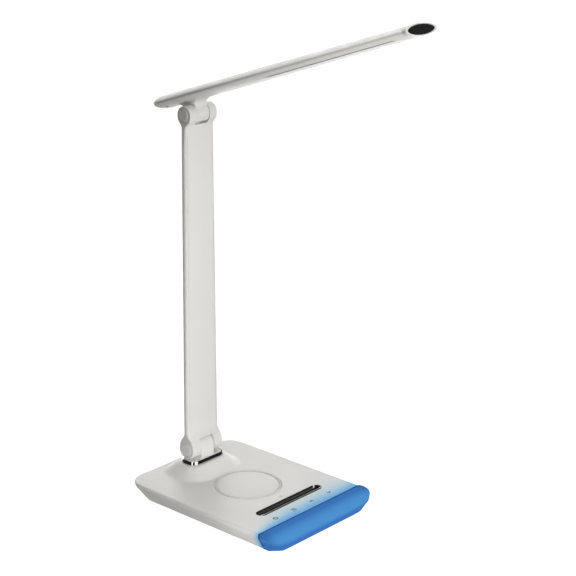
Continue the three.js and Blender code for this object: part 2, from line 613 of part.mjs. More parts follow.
{
  const endY = HEAD_FRONT + 4.6;                           // shells stop here, the end ring follows
  const outer = toSolid(loft([
    lens(HEAD_REAR, HEAD_HALF - 0.5, thickAt(HEAD_REAR) - 0.5),
    lens(HEAD_REAR - 0.6, HEAD_HALF, thickAt(HEAD_REAR)),
    lens(endY, HEAD_HALF, thickAt(endY)),
  ]));
  const inner = toSolid(loft([
    lens(HEAD_REAR - 2.0, HEAD_HALF - 1.9, thickAt(HEAD_REAR) - 1.5),
    lens(endY - 1, HEAD_HALF - 1.9, thickAt(endY) - 1.5),
  ]));
  const tube = cut(outer, inner);
  const upper = common(tube, block(-30, 30, HEAD_FRONT - 5, HEAD_REAR + 5, HEAD_LIFT + GAP / 2, HEAD_LIFT + 10));
  part(head, 'head_upper_shell', upper, paint(WHITE, 0.42));

  let lower = common(tube, block(-30, 30, HEAD_FRONT - 5, HEAD_REAR + 5, HEAD_LIFT - 10, HEAD_LIFT - GAP / 2));
  // neck: knuckle and a web that widens into the underside of the head
  const neckWeb = loft([
    [0, NECK_HALF, 7.8], [5, NECK_HALF, 7.0], [7, NECK_HALF, 7.1], [8.6, NECK_HALF, 8.0], [10.4, NECK_HALF + 1.1, 10.4],
    [11.8, NECK_HALF + 3.2, 14.0], [12.4, NECK_HALF + 3.5, 14.4],
  ].map(([z, hx, hy]) => ringAt(roundedPlan(-hx, hx, -hy, hy, 2.0, 3), z)));
  const neck = join(rodX(NECK_R, -NECK_HALF, NECK_HALF, 0, 0, 40), common(neckWeb, block(-30, 30, -30, 30, -9, 12.3)));
  lower = join(lower, neck);
  lower = cut(lower, rodX(PIN_R + GAP, -30, 30, 0, 0, 24));
  // wiring hole from the neck into the head
  lower = cut(lower, rodZ(2.2, 4.5, 13.5, 0, 5.0, 12));
  // window for the diffuser
  lower = cut(lower, plate(roundedPlan(-DIFF_HALF - GAP, DIFF_HALF + GAP,
    HEAD_REAR - DIFF_FAR - GAP, HEAD_REAR - DIFF_NEAR + GAP, 14.2, 9), HEAD_LIFT - 8, HEAD_LIFT - 0.5));
  // screw hole at the rear of the underside
  for (const x of [-12.6, 12.6]) {
    lower = cut(lower, rodZ(2.0, HEAD_LIFT - 8, HEAD_LIFT - 0.3, x, HEAD_REAR - 8.9, 14));
  }
  part(head, 'head_lower_shell', lower, paint(WHITE, 0.42));
  for (const [where, x] of [['left', -12.6], ['right', 12.6]]) {
    part(head, `head_screw_${where}`,
      toSolid(rodZ(1.6, HEAD_LIFT - 3.4, HEAD_LIFT - 0.6, x, HEAD_REAR - 8.9, 14)), paint(0x55575a, 0.4, 1));
  }

  // diffuser: fills the window and stands a little proud of the underside
  const skin = toSolid(loft([
    lens(HEAD_REAR - 60, HEAD_HALF, thickAt(HEAD_REAR - 60) + 0.5),
    lens(HEAD_FRONT + 3, HEAD_HALF, thickAt(HEAD_FRONT + 3) + 0.5),
  ]));
  const core = toSolid(loft([
    lens(HEAD_REAR - 50, HEAD_HALF - 1.9, thickAt(HEAD_REAR - 50) - 1.5),
    lens(HEAD_FRONT - 3, HEAD_HALF - 1.9, thickAt(HEAD_FRONT - 3) - 1.5),
  ]));
  const diffuser = common(cut(skin, core), plate(roundedPlan(-DIFF_HALF, DIFF_HALF,
    HEAD_REAR - DIFF_FAR, HEAD_REAR - DIFF_NEAR, 13.9, 9), HEAD_LIFT - 9, HEAD_LIFT - 1));
  part(head, 'head_diffuser', diffuser, paint(0xfbfbf8, 0.35));

  // board with two rows of lamps above the diffuser
  let board = toSolid(block(-12, 12, HEAD_REAR - DIFF_FAR + 4, HEAD_REAR - DIFF_NEAR - 4, HEAD_LIFT + 0.4, HEAD_LIFT + 1.6));
  for (let i = 0; i < 14; i++) {
    const y = HEAD_REAR - DIFF_NEAR - 10 - i * 11.4;
    for (const x of [-6, 6]) board = join(board, block(x - 1.5, x + 1.5, y - 1.5, y + 1.5, HEAD_LIFT - 0.4, HEAD_LIFT + 0.5));
  }
  part(head, 'head_led_board', board, paint(0xf0efe6, 0.45));

  // end ring with a leaning face, and the dark cap inside it
  const slant = Math.tan(HEAD_SLANT * Math.PI / 180);
  const tE = thickAt(HEAD_FRONT);
  const ringOuter = loft([
    lens(endY - GAP, HEAD_HALF, thickAt(endY)),
    lens(HEAD_FRONT + 0.5, HEAD_HALF, tE, slant),
    lens(HEAD_FRONT, HEAD_HALF - 0.4, tE - 0.3, slant),
  ]);
  const ringInner = loft([
    lens(endY + 3, HEAD_HALF - 2.9, tE - 0.95),
    lens(HEAD_FRONT - 4, HEAD_HALF - 2.9, tE - 0.95, slant),
  ]);
  part(head, 'head_end_ring', cut(ringOuter, ringInner), paint(0xeeede9, 0.3));
  const capSolid = loft([
    lens(endY - GAP - 0.4, HEAD_HALF - 3.3, tE - 1.3),
    lens(HEAD_FRONT + 0.7, HEAD_HALF - 3.3, tE - 1.3, slant),
  ]);
  part(head, 'head_end_cap', toSolid(capSolid), paint(BLACK, 0.1));
}

// ----------------------------------------------------------------------- lamp

const lamp = new THREE.Group();
const bench = new THREE.Group();
bench.position.y = -CENTRE_Y;
bench.add(base, arm);
lamp.add(bench);
lamp.updateMatrixWorld(true);

export default lamp;
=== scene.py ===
# Looks of the folding desk lamp with a wireless charging base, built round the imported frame.
# Shapes are worked out in millimetres on the lamp's own bench layout (x = 0 the middle plane,
# y = 0 the joint line between the base top and the light bar, z = 0 the desk), then placed in metres.

import math

import bmesh
import bpy
import numpy as np
from mathutils import Matrix, Vector
from mathutils.geometry import delaunay_2d_cdt


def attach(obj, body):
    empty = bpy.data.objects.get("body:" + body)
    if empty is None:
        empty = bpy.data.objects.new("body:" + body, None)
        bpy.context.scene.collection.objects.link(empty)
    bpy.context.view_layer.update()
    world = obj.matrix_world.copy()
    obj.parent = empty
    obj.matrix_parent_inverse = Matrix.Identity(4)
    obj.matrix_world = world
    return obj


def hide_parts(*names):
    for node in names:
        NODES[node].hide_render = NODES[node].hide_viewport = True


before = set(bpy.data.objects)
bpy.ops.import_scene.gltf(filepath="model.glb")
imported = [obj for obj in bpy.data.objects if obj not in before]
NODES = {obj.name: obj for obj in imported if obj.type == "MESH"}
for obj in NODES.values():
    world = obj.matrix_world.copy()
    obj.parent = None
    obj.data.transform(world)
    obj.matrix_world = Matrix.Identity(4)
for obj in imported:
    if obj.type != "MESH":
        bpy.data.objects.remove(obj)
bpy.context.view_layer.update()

# ------------------------------------------------------------------ dimensions, mm

CENTRE_Y = 29.54
BASE_HALF, BASE_BACK, BASE_TOP, BASE_BAND, BASE_UNDER = 68.0, 166.4, 18.0, 14.0, 1.0
BEVEL, BASE_CORNER, WALL, GAP = 7.5, 17.0, 2.2, 0.3
NOSE, NOSE_MID, NOSE_FOOT, NOSE_SWELL = 21.0, 10.7, 14.65, 1.3
NOSE_CORNER_X, NOSE_CORNER_Y, NOSE_UNDER_X, NOSE_UNDER_Y = 25.5, 9.6, 16.5, 13.9
FOOT_HALF, FOOT_FRONT, FOOT_REAR, FOOT_R = 21.15, 125.8, 145.2, 6.5
MOUND_TOP, MOUND_SPREAD = 27.6, 18.0
SLOT_X, SLOT_HALF, SLOT_FRONT, SLOT_REAR, SLOT_FLOOR = 1.3, 41.7, 20.8, 31.0, 9.4
LOWER_Y, LOWER_Z, UPPER_Y, UPPER_Z = 136.8, 40.8, 134.9, 358.0
KNUCKLE_LOW, KNUCKLE_TOP, ARM_HALF_LOW, ARM_HALF_TOP, ARM_THICK = 9.2, 8.3, 19.6, 16.85, 5.8
TAB_R, TAB_HALF, NECK_R, NECK_HALF, NOTCH_LOW, NOTCH_TOP = 8.9, 8.2, 8.0, 7.4, 9.9, 9.2
CAP_LOW, CAP_TOP, PIN_R = 6.3, 5.8, 2.5
RISE = math.radians(18.4)
HEAD_LENGTH, HEAD_REAR, HEAD_LIFT, HEAD_HALF = 295.5, 31.7, 16.7, 19.7
HEAD_THICK_REAR, HEAD_THICK_FRONT, HEAD_SLANT = 6.25, 5.3, 15.0
DIFF_NEAR, DIFF_FAR, DIFF_HALF = 118.0, 287.0, 14.0
ARM_LENGTH = math.hypot(UPPER_Y - LOWER_Y, UPPER_Z - LOWER_Z)
LEAN = math.atan2(LOWER_Y - UPPER_Y, UPPER_Z - LOWER_Z)

M_BASE = Matrix.Scale(0.001, 4) @ Matrix.Translation((0, -CENTRE_Y, 0))
M_ARM = M_BASE @ Matrix.Translation((0, LOWER_Y, LOWER_Z)) @ Matrix.Rotation(LEAN, 4, "X")
M_HEAD = M_BASE @ Matrix.Translation((0, UPPER_Y, UPPER_Z)) @ Matrix.Rotation(-RISE, 4, "X")

# ------------------------------------------------------------------ camera

YAW, PITCH, ROLL = math.radians(47.97), math.radians(17.89), math.radians(0.11)
fwd = Vector((math.sin(YAW) * math.cos(PITCH), math.cos(YAW) * math.cos(PITCH), -math.sin(PITCH)))
side0 = fwd.cross(Vector((0, 0, 1))).normalized()
up0 = side0.cross(fwd)
right = side0 * math.cos(ROLL) + up0 * math.sin(ROLL)
upv = up0 * math.cos(ROLL) - side0 * math.sin(ROLL)
cam_data = bpy.data.cameras.new("photo_camera")
cam_data.sensor_width = 36.0
cam_data.lens = 99.58
cam_data.clip_start, cam_data.clip_end = 0.05, 60.0
camera = bpy.data.objects.new("photo_camera", cam_data)
bpy.context.scene.collection.objects.link(camera)
camera.matrix_world = Matrix((
    (right.x, upv.x, -fwd.x, -0.97430),
    (right.y, upv.y, -fwd.y, -0.88090),
    (right.z, upv.z, -fwd.z, 0.64274),
    (0, 0, 0, 1)))
bpy.context.scene.camera = camera

# ------------------------------------------------------------------ shape helpers


def arr(p):
    return np.asarray(p, float)


def round_plan(x0, x1, y0, y1, r, seg=10, mid=0):
    """Rounded rectangle, counter-clockwise; mid adds that many points on each long straight."""
    pts = []
    for k, (cx, cy, a0) in enumerate(((x1 - r, y0 + r, -90), (x1 - r, y1 - r, 0), (x0 + r, y1 - r, 90), (x0 + r, y0 + r, 180))):
        for i in range(seg + 1):
            a = math.radians(a0 + 90 * i / seg)
            pts.append((cx + r * math.cos(a), cy + r * math.sin(a)))
        if mid and k in (0, 2):
            a, b = pts[-1], ((x1, y1 - r) if k == 0 else (x0, y0 + r))
            for i in range(1, mid + 1):
                t = i / (mid + 1)
                pts.append((a[0] + (b[0] - a[0]) * t, a[1] + (b[1] - a[1]) * t))
    return arr(pts)


def circle(r, n=64, cx=0.0, cy=0.0):
    a = np.arange(n) * 2 * math.pi / n
    return np.stack([cx + r * np.cos(a), cy + r * np.sin(a)], 1)


def at(pts, z):
    return np.column_stack([pts, np.full(len(pts), float(z))])


def loft(rings, cap0=True, cap1=True, wrap=False, skip=None):
    n, m = len(rings[0]), len(rings)
    V, F = np.concatenate(rings), []
    for k in range(m if wrap else m - 1):
        a0, b0 = k * n, ((k + 1) % m) * n
        for i in range(n):
            if skip and skip(k, i):
                continue
            j = (i + 1) % n
            F.append((a0 + i, a0 + j, b0 + j, b0 + i))
    if not wrap:
        if cap0:
            F.append(tuple(reversed(range(n))))
        if cap1:
            F.append(tuple(range((m - 1) * n, m * n)))
    return V, F


def merge(*parts):
    V, F, s = [], [], 0
    for v, f in parts:
        V.append(arr(v))
        F += [tuple(i + s for i in g) for g in f]
        s += len(v)
    return np.concatenate(V), F


def inside(p, loop):
    x, y = loop[:, 0], loop[:, 1]
    x2, y2 = np.roll(x, -1), np.roll(y, -1)
    cross = (y > p[1]) != (y2 > p[1])
    with np.errstate(divide="ignore", invalid="ignore"):
        xi = x + (p[1] - y) * (x2 - x) / (y2 - y)
    return int(np.sum(cross & (p[0] < xi))) % 2


def fill(loops, z):
    """Flat face between closed loops, by the even-odd rule."""
    pts, edges = [], []
    for L in loops:
        s, n = len(pts), len(L)
        pts += [Vector((float(p[0]), float(p[1]))) for p in L]
        edges += [(s + i, s + (i + 1) % n) for i in range(n)]
    vs, _, fs = delaunay_2d_cdt(pts, edges, [], 0, 1e-6)[:3]
    P = arr([(v.x, v.y) for v in vs])
    keep = [tuple(f) for f in fs if sum(inside(P[list(f)].mean(0), arr(L)) for L in loops) % 2]
    return at(P, z), keep


def plate2d(loops, z0, z1):
    parts = [fill(loops, z0), fill(loops, z1)]
    for L in loops:
        parts.append(loft([at(arr(L), z0), at(arr(L), z1)], False, False))
    return merge(*parts)


def offset_loop(P, d):
    """Moves a closed counter-clockwise loop inwards by d, a number or a column of them."""
    P = arr(P)
    e1 = P - np.roll(P, 1, 0)
    e2 = np.roll(P, -1, 0) - P
    e1 /= np.linalg.norm(e1, axis=1)[:, None] + 1e-12
    e2 /= np.linalg.norm(e2, axis=1)[:, None] + 1e-12
    n1 = np.stack([-e1[:, 1], e1[:, 0]], 1)
    n2 = np.stack([-e2[:, 1], e2[:, 0]], 1)
    n = (n1 + n2) / (1 + np.sum(n1 * n2, 1))[:, None]
    return P + n * d


def extrude_round(P, half, r, steps=4, width=None, soft=None):
    """(y, z) outline run along x between the two sides, with rounded long edges. width(z) may taper it, soft(z) vary the rounding."""
    w = width or (lambda z: np.full(len(z), half))
    rr = soft(P[:, 1]) if soft else np.full(len(P), float(r))
    rings = []
    for sgn, ks in ((-1, range(steps + 1)), (1, range(steps, -1, -1))):
        for k in ks:
            a = k / steps * math.pi / 2
            Q = offset_loop(P, (rr * (1 - math.sin(a)))[:, None])
            rings.append(np.column_stack([sgn * (w(P[:, 1]) - rr * (1 - math.cos(a))), Q]))
    caps = []
    for R in (rings[0], rings[-1]):
        n = len(R)
        pts = [Vector((float(p[1]), float(p[2]))) for p in R]
        vs, _, fs = delaunay_2d_cdt(pts, [(i, (i + 1) % n) for i in range(n)], [], 0, 1e-7)[:3]
        flat = arr([(v.x, v.y) for v in vs])
        near = [int(np.argmin(np.sum((R[:, 1:] - q) ** 2, 1))) for q in flat]
        caps.append((R, [tuple(near[i] for i in f) for f in fs if inside(flat[list(f)].mean(0), R[:, 1:])]))
    return merge(loft(rings, False, False), *caps)


def lathe(profile, n=64, closed=False):
    """Profile of (r, h) turned about the z axis."""
    rings = []
    for r, h in profile:
        rings.append(at(circle(max(r, 1e-4), n), h))
    if closed:
        return loft(rings, wrap=True)
    return loft(rings)


def new_mesh(vf, tol=1e-4):
    V, F = vf
    me = bpy.data.meshes.new("part")
    me.from_pydata([tuple(map(float, v)) for v in V], [], [tuple(int(i) for i in f) for f in F])
    bm = bmesh.new()
    bm.from_mesh(me)
    bmesh.ops.remove_doubles(bm, verts=bm.verts, dist=tol)
    bmesh.ops.dissolve_degenerate(bm, edges=bm.edges, dist=tol)
    loose = [v for v in bm.verts if not v.link_faces]
    if loose:
        bmesh.ops.delete(bm, geom=loose, context="VERTS")
    bmesh.ops.recalc_face_normals(bm, faces=bm.faces)
    bm.to_mesh(me)
    bm.free()
    return me


def _temp(me):
    o = bpy.data.objects.new("temp", me)
    bpy.context.scene.collection.objects.link(o)
    return o


def _evaluated(o, extra=()):
    bpy.context.view_layer.update()
    dg = bpy.context.evaluated_depsgraph_get()
    out = bpy.data.meshes.new_from_object(o.evaluated_get(dg), depsgraph=dg)
    for x in (o, *extra):
        bpy.data.objects.remove(x)
    return out


def boolean(me, *tools):
    """tools are (operation, mesh) in order."""
    o, others = _temp(me), []
    for op, t in tools:
        c = _temp(t)
        others.append(c)
        m = o.modifiers.new("cut", "BOOLEAN")
        m.operation, m.object, m.solver = op, c, "EXACT"
    return _evaluated(o, others)


def bevel(me, width, segments=2, angle=45):
    o = _temp(me)
    m = o.modifiers.new("edge", "BEVEL")
    m.width, m.segments, m.limit_method, m.angle_limit = width, segments, "ANGLE", math.radians(angle)
    m.use_clamp_overlap = True
    m.miter_outer = "MITER_ARC"
    return _evaluated(o)


def box_mesh(x0, x1, y0, y1, z0, z1):
    P = arr([(x0, y0), (x1, y0), (x1, y1), (x0, y1)])
    return new_mesh(loft([at(P, z0), at(P, z1)]))


def turned(vf, m):
    """Applies a 4x4 to a (V, F) shape."""
    V, F = vf
    A = arr(m)
    return arr(V) @ A[:3, :3].T + A[:3, 3], F


ALONG_X = Matrix.Rotation(math.pi / 2, 4, "Y")      # z of the shape points along +x
ALONG_Y = Matrix.Rotation(-math.pi / 2, 4, "X")     # z of the shape points along +y


def rod_x(r, x0, x1, y=0.0, z=0.0, n=48):
    vf = turned(lathe([(r, x0), (r, x1)], n), ALONG_X)
    return new_mesh(turned(vf, Matrix.Translation((0, y, z))))


def rod_z(r, z0, z1, x=0.0, y=0.0, n=32):
    return new_mesh(turned(lathe([(r, z0), (r, z1)], n), Matrix.Translation((x, y, 0))))


def finish_mesh(me, sharp):
    for p in me.polygons:
        p.use_smooth = True
    me.set_sharp_from_angle(angle=math.radians(sharp))


MADE = []


def piece(name, me, place, body, mat, nodes=(), sharp=40, weighted=True):
    if isinstance(me, tuple):
        me = new_mesh(me)
    me.name = name
    me.transform(place)
    finish_mesh(me, sharp)
    me.materials.clear()
    me.materials.append(mat)
    ob = bpy.data.objects.new(name, me)
    bpy.context.scene.collection.objects.link(ob)
    if weighted:
        m = ob.modifiers.new("normals", "WEIGHTED_NORMAL")
        m.mode, m.weight, m.keep_sharp = "FACE_AREA", 50, True
    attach(ob, body)
    if nodes:
        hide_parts(*nodes)
    MADE.append((ob, nodes))
    return ob


# ------------------------------------------------------------------ materials


class Mat:
    """A principled material with object-space procedural detail."""

    def __init__(self, name, color, rough, metallic=0.0):
        self.m = bpy.data.materials.new(name)
        self.m.use_nodes = True
        self.t = self.m.node_tree
        self.p = self.t.nodes["Principled BSDF"]
        self.p.inputs["Metallic"].default_value = metallic
        self.p.inputs["Roughness"].default_value = rough
        self.p.inputs["Base Color"].default_value = (*color, 1)
        self.co = self.t.nodes.new("ShaderNodeTexCoord").outputs["Object"]
        self.color, self.rough = color, rough

    def node(self, kind, **kw):
        n = self.t.nodes.new(kind)
        for k, v in kw.items():
            setattr(n, k, v)
        return n

    def link(self, a, b):
        self.t.links.new(a, b)

    def noise(self, scale, detail=3.0, rough=0.5, vec=None):
        n = self.node("ShaderNodeTexNoise")
        n.inputs["Scale"].default_value = scale
        n.inputs["Detail"].default_value = detail
        n.inputs["Roughness"].default_value = rough
        self.link(vec or self.co, n.inputs["Vector"])
        return n.outputs["Fac"]

    def remap(self, value, a, b, c, d, smooth=False):
        n = self.node("ShaderNodeMapRange")
        if smooth:
            n.interpolation_type = "SMOOTHSTEP"
        for i, v in zip(("From Min", "From Max", "To Min", "To Max"), (a, b, c, d)):
            n.inputs[i].default_value = v
        self.link(value, n.inputs["Value"])
        return n.outputs["Result"]

    def math(self, op, a, b=None):
        n = self.node("ShaderNodeMath", operation=op)
        for i, v in ((0, a), (1, b)):
            if v is None:
                continue
            if isinstance(v, (int, float)):
                n.inputs[i].default_value = v
            else:
                self.link(v, n.inputs[i])
        return n.outputs[0]

    def mix(self, fac, a, b, mode="MIX"):
        n = self.node("ShaderNodeMix", data_type="RGBA", blend_type=mode)
        if isinstance(fac, (int, float)):
            n.inputs[0].default_value = fac
        else:
            self.link(fac, n.inputs[0])
        for sock, v in ((n.inputs[6], a), (n.inputs[7], b)):
            if isinstance(v, tuple):
                sock.default_value = (*v, 1)
            else:
                self.link(v, sock)
        return n.outputs[2]

    def axis(self, i):
        n = self.node("ShaderNodeSeparateXYZ")
        self.link(self.co, n.inputs[0])
        return n.outputs[i]

    def bump(self, height, distance, strength=1.0):
        n = self.node("ShaderNodeBump")
        n.inputs["Distance"].default_value = distance
        n.inputs["Strength"].default_value = strength
        self.link(height, n.inputs["Height"])
        self.link(n.outputs[0], self.p.inputs["Normal"])

    def vary(self, scale, amount, mottle=0.06, base=None):
        """Roughness and brightness that wander a little over the surface."""
        f = self.noise(scale)
        self.link(self.remap(f, 0.3, 0.7, self.rough - mottle, self.rough + mottle), self.p.inputs["Roughness"])
        c = base if base is not None else self.color
        dark = tuple(x * (1 - amount) for x in self.color)
        out = self.mix(self.remap(self.noise(scale * 0.37, 2), 0.25, 0.75, 0, 1), dark, self.color)
        if base is None:
            self.link(out, self.p.inputs["Base Color"])
        return out


def white_plastic(name, glow=False, rough=0.44, painted_shade=False):
    m = Mat(name, (0.80, 0.79, 0.765), rough)
    m.p.inputs["IOR"].default_value = 1.47
    base = m.vary(55, 0.025, 0.05)
    if painted_shade:
        # painted shade: the long moulding is made a touch greyer towards its foot and its right edge, easing off a
        # little right at its foot
        low = m.remap(m.axis(2), 0.060, 0.300, 0.915, 1.0, True)
        low = m.math("MULTIPLY", low, m.remap(m.axis(2), 0.050, 0.080, 1.06, 1.0, True))
        tone = m.math("MULTIPLY", low, m.remap(m.axis(0), -0.012, 0.017, 1.0, 0.955))
        painted_shade_grey = m.node("ShaderNodeCombineColor")
        for i in range(3):
            m.link(tone, painted_shade_grey.inputs[i])
        base = m.mix(1.0, base, painted_shade_grey.outputs[0], "MULTIPLY")
        m.link(base, m.p.inputs["Base Color"])
    fine = m.noise(2600, 2, 0.6)
    soft = m.noise(240, 2, 0.5)
    m.bump(m.math("ADD", m.math("MULTIPLY", fine, 0.5), m.math("MULTIPLY", soft, 0.8)), 0.00002, 0.55)
    if glow:
        # light from inside the bar that soaks into the plastic next to it, weaker towards the left end
        d = m.math("ADD", m.axis(1), CENTRE_Y * 0.001)
        reach = m.remap(m.axis(0), -0.069, -0.015, 0.0042, 0.0159)
        most = m.remap(m.axis(0), -0.070, -0.050, 0.64, 0.985)
        q = m.math("DIVIDE", m.math("MAXIMUM", d, 0.0), reach)
        g = m.math("MULTIPLY", m.math("EXPONENT", m.math("MULTIPLY", m.math("POWER", q, 1.42), -1.0)), most)
        tint = m.node("ShaderNodeSeparateColor")
        m.link(base, tint.inputs[0])
        out = m.node("ShaderNodeCombineColor")
        near = m.math("DIVIDE", m.math("MAXIMUM", d, 0.0), m.math("MULTIPLY", reach, 0.975))
        red = m.math("MULTIPLY", m.math("EXPONENT", m.math("MULTIPLY", m.math("POWER", near, 1.8), -1.0)), m.math("POWER", most, 0.8))
        for i, (full, power) in enumerate(((0.0, None), (0.30, 1.4), (0.77, 1.0))):
            gi = red if power is None else m.math("POWER", g, power)
            keep = m.math("MULTIPLY", tint.outputs[i], m.math("SUBTRACT", 1.0, gi))
            m.link(m.math("ADD", keep, m.math("MULTIPLY", gi, full)), out.inputs[i])
        m.link(out.outputs[0], m.p.inputs["Base Color"])
    return m.m


WHITE = white_plastic("white_plastic_satin")
WHITE_BASE = white_plastic("white_plastic_base", glow=True)
# the arm's plastic carries painted shade, greyer towards its foot and its right edge
WHITE_ARM = white_plastic("white_plastic_arm", painted_shade=True)


def white_head():
    """The head's plastic: light from the lamps inside soaks into its thin edges, more towards the front; its top and a
    band below its seam are painted darker as shade.
    """
    m = white_plastic("white_plastic_head").node_tree
    bsdf, co = m.nodes["Principled BSDF"], None
    for n in m.nodes:
        if n.bl_idname == "ShaderNodeTexCoord":
            co = n.outputs["Object"]
    origin = (0, (UPPER_Y - CENTRE_Y) * 0.001, UPPER_Z * 0.001)

    def along(direction):
        sub = m.nodes.new("ShaderNodeVectorMath")
        sub.operation = "SUBTRACT"
        sub.inputs[1].default_value = origin
        m.links.new(co, sub.inputs[0])
        dot = m.nodes.new("ShaderNodeVectorMath")
        dot.operation = "DOT_PRODUCT"
        dot.inputs[1].default_value = direction
        m.links.new(sub.outputs[0], dot.inputs[0])
        return dot.outputs["Value"]

    def calc(op, a, b=0.0):
        n = m.nodes.new("ShaderNodeMath")
        n.operation = op
        for i, v in enumerate((a, b)):
            if isinstance(v, (int, float)):
                n.inputs[i].default_value = v
            else:
                m.links.new(v, n.inputs[i])
        return n.outputs[0]

    def span(v, a, b, c, d):
        n = m.nodes.new("ShaderNodeMapRange")
        for i, x in enumerate((a, b, c, d)):
            n.inputs[i + 1].default_value = x
        m.links.new(v, n.inputs[0])
        return n.outputs[0]
    y = along((0, math.cos(RISE), -math.sin(RISE)))
    h = calc("SUBTRACT", along((0, math.sin(RISE), math.cos(RISE))), HEAD_LIFT * 0.001)
    front = span(y, (HEAD_REAR - 45) * 0.001, (HEAD_REAR - 240) * 0.001, 0.0, 0.30)
    u = calc("DIVIDE", h, 0.0032)
    edge = calc("EXPONENT", calc("MULTIPLY", calc("MULTIPLY", u, u), -1.0))
    w = calc("DIVIDE", h, 0.00045)
    crack = calc("SUBTRACT", 1.0, calc("MULTIPLY", 0.5, calc("EXPONENT", calc("MULTIPLY", calc("MULTIPLY", w, w), -1.0))))
    crack = calc("MULTIPLY", crack, span(h, -0.0012, 0.0, 0.45, 1.0))
    m.links.new(calc("MULTIPLY", calc("MULTIPLY", front, edge), crack), bsdf.inputs["Emission Strength"])
    bsdf.inputs["Emission Color"].default_value = (1.0, 0.99, 0.965, 1)
    # painted shade: the base colour is darkened over the top of the head and in a band just below its seam
    tone = m.nodes.new("ShaderNodeMix")
    tone.data_type, tone.blend_type = "RGBA", "MULTIPLY"
    tone.inputs[0].default_value = 1.0
    m.links.new(bsdf.inputs["Base Color"].links[0].from_socket, tone.inputs[6])
    painted_shade_grey = m.nodes.new("ShaderNodeCombineColor")
    for i in range(3):
        under = calc("ADD", span(h, -0.0010, -0.0030, 1.0, 0.88), span(h, -0.0066, -0.0086, 0.0, 0.12))
        m.links.new(calc("MULTIPLY", span(h, 0.0012, 0.0052, 1.0, 0.72), under), painted_shade_grey.inputs[i])
    m.links.new(painted_shade_grey.outputs[0], tone.inputs[7])
    m.links.new(tone.outputs[2], bsdf.inputs["Base Color"])
    return bpy.data.materials["white_plastic_head"]


WHITE_HEAD = white_head()


def make_blue():
    """Blue glow in bands of painted light and shade: lighter along the front, darker over the top and below, painted
    shade darkest at the joint and a little darker towards the ends.
    """
    mid, low, edge = (0.069, 0.262, 0.580), (0.044, 0.166, 0.468), (0.009, 0.030, 0.110)
    m = Mat("blue_light_bar", mid, 0.30)
    m.p.inputs["IOR"].default_value = 1.49
    z, y = m.axis(2), m.axis(1)
    n = m.math("MULTIPLY", m.math("SUBTRACT", m.noise(38, 2), 0.5), 0.0014)
    d = m.math("SUBTRACT", -CENTRE_Y * 0.001, y)                   # reach in front of the joint
    # painted light and shade: the front band lighter, the top and the underside darker
    under = m.remap(m.math("ADD", z, n), 0.0078, 0.0142, 0, 1, True)
    over = m.remap(m.math("ADD", d, n), 0.0065, 0.0178, 0.04, 1, True)
    high = m.remap(z, 0.0125, 0.0165, 0, 1, True)
    over = m.math("ADD", m.math("MULTIPLY", high, over), m.math("SUBTRACT", 1.0, high))
    c = m.mix(m.math("MULTIPLY", under, over), low, mid)
    # painted shade: darkest within about two and a half millimetres of the joint
    c = m.mix(m.remap(d, 0.0007, 0.0026, 0, 1, True), edge, c)
    # painted shade: darker towards both ends
    c = m.mix(m.math("MULTIPLY", m.remap(m.math("ABSOLUTE", m.axis(0)), 0.058, 0.068, 0, 1, True), 0.22), c, (0.012, 0.050, 0.190))
    m.link(m.mix(0.80, c, (0, 0, 0)), m.p.inputs["Base Color"])
    m.link(c, m.p.inputs["Emission Color"])
    m.p.inputs["Emission Strength"].default_value = 0.86
    m.p.inputs["Specular IOR Level"].default_value = 0.0
    fine = m.noise(1500, 2, 0.6)
    m.bump(fine, 0.000015, 0.5)
    f = m.noise(80)
    m.link(m.remap(f, 0.3, 0.7, 0.27, 0.36), m.p.inputs["Roughness"])
    return m.m


BLUE = make_blue()


# where the joint beside the opal panel starts to show, measured along the head in the scene's frame
JOINT_NEAR = (M_HEAD @ Vector((0, HEAD_REAR - DIFF_NEAR - 17.0, HEAD_LIFT))).dot(Vector((0, math.cos(RISE), -math.sin(RISE))))


def make_diffuser():
    m = Mat("opal_diffuser", (0.76, 0.76, 0.745), 0.5)
    # two rows of small lamps show faintly through the opal sheet
    dot = m.node("ShaderNodeVectorMath", operation="DOT_PRODUCT")
    m.link(m.co, dot.inputs[0])
    dot.inputs[1].default_value = (0, math.cos(RISE), -math.sin(RISE))
    s = m.math("COSINE", m.math("MULTIPLY", dot.outputs["Value"], 2 * math.pi / 0.0114))
    x = m.math("ABSOLUTE", m.axis(0))
    row = m.math("COSINE", m.math("MULTIPLY", m.math("SUBTRACT", x, 0.006), math.pi / 0.009))
    spots = m.math("MULTIPLY", m.remap(s, -1, 1, 0, 1), m.remap(row, -1, 1, 0, 1))
    # the shaded joint along its long edges
    start = m.remap(dot.outputs["Value"], JOINT_NEAR, JOINT_NEAR - 0.006, 0, 1)
    shade = m.math("MULTIPLY", m.remap(x, 0.0121, 0.0132, 0, 1, True), start)
    m.link(m.mix(m.math("MULTIPLY", shade, 0.72), (0.76, 0.76, 0.745), (0.05, 0.05, 0.05)), m.p.inputs["Base Color"])
    lit = m.math("MULTIPLY", m.remap(spots, 0, 1, 0.03, 0.09), m.math("SUBTRACT", 1.0, shade))
    m.link(lit, m.p.inputs["Emission Strength"])
    m.p.inputs["Emission Color"].default_value = (1.0, 0.99, 0.96, 1)
    m.bump(m.noise(1900, 2), 0.00001, 0.4)
    return m.m


DIFFUSER = make_diffuser()


def make_black(name, rough, color=(0.008, 0.008, 0.0085), ior=1.32):
    m = Mat(name, color, rough)
    m.p.inputs["IOR"].default_value = ior
    m.vary(90, 0.2, rough * 0.25)
    m.bump(m.noise(70, 2), 0.00002, 0.12)
    return m.m


BLACK = make_black("piano_black", 0.13)


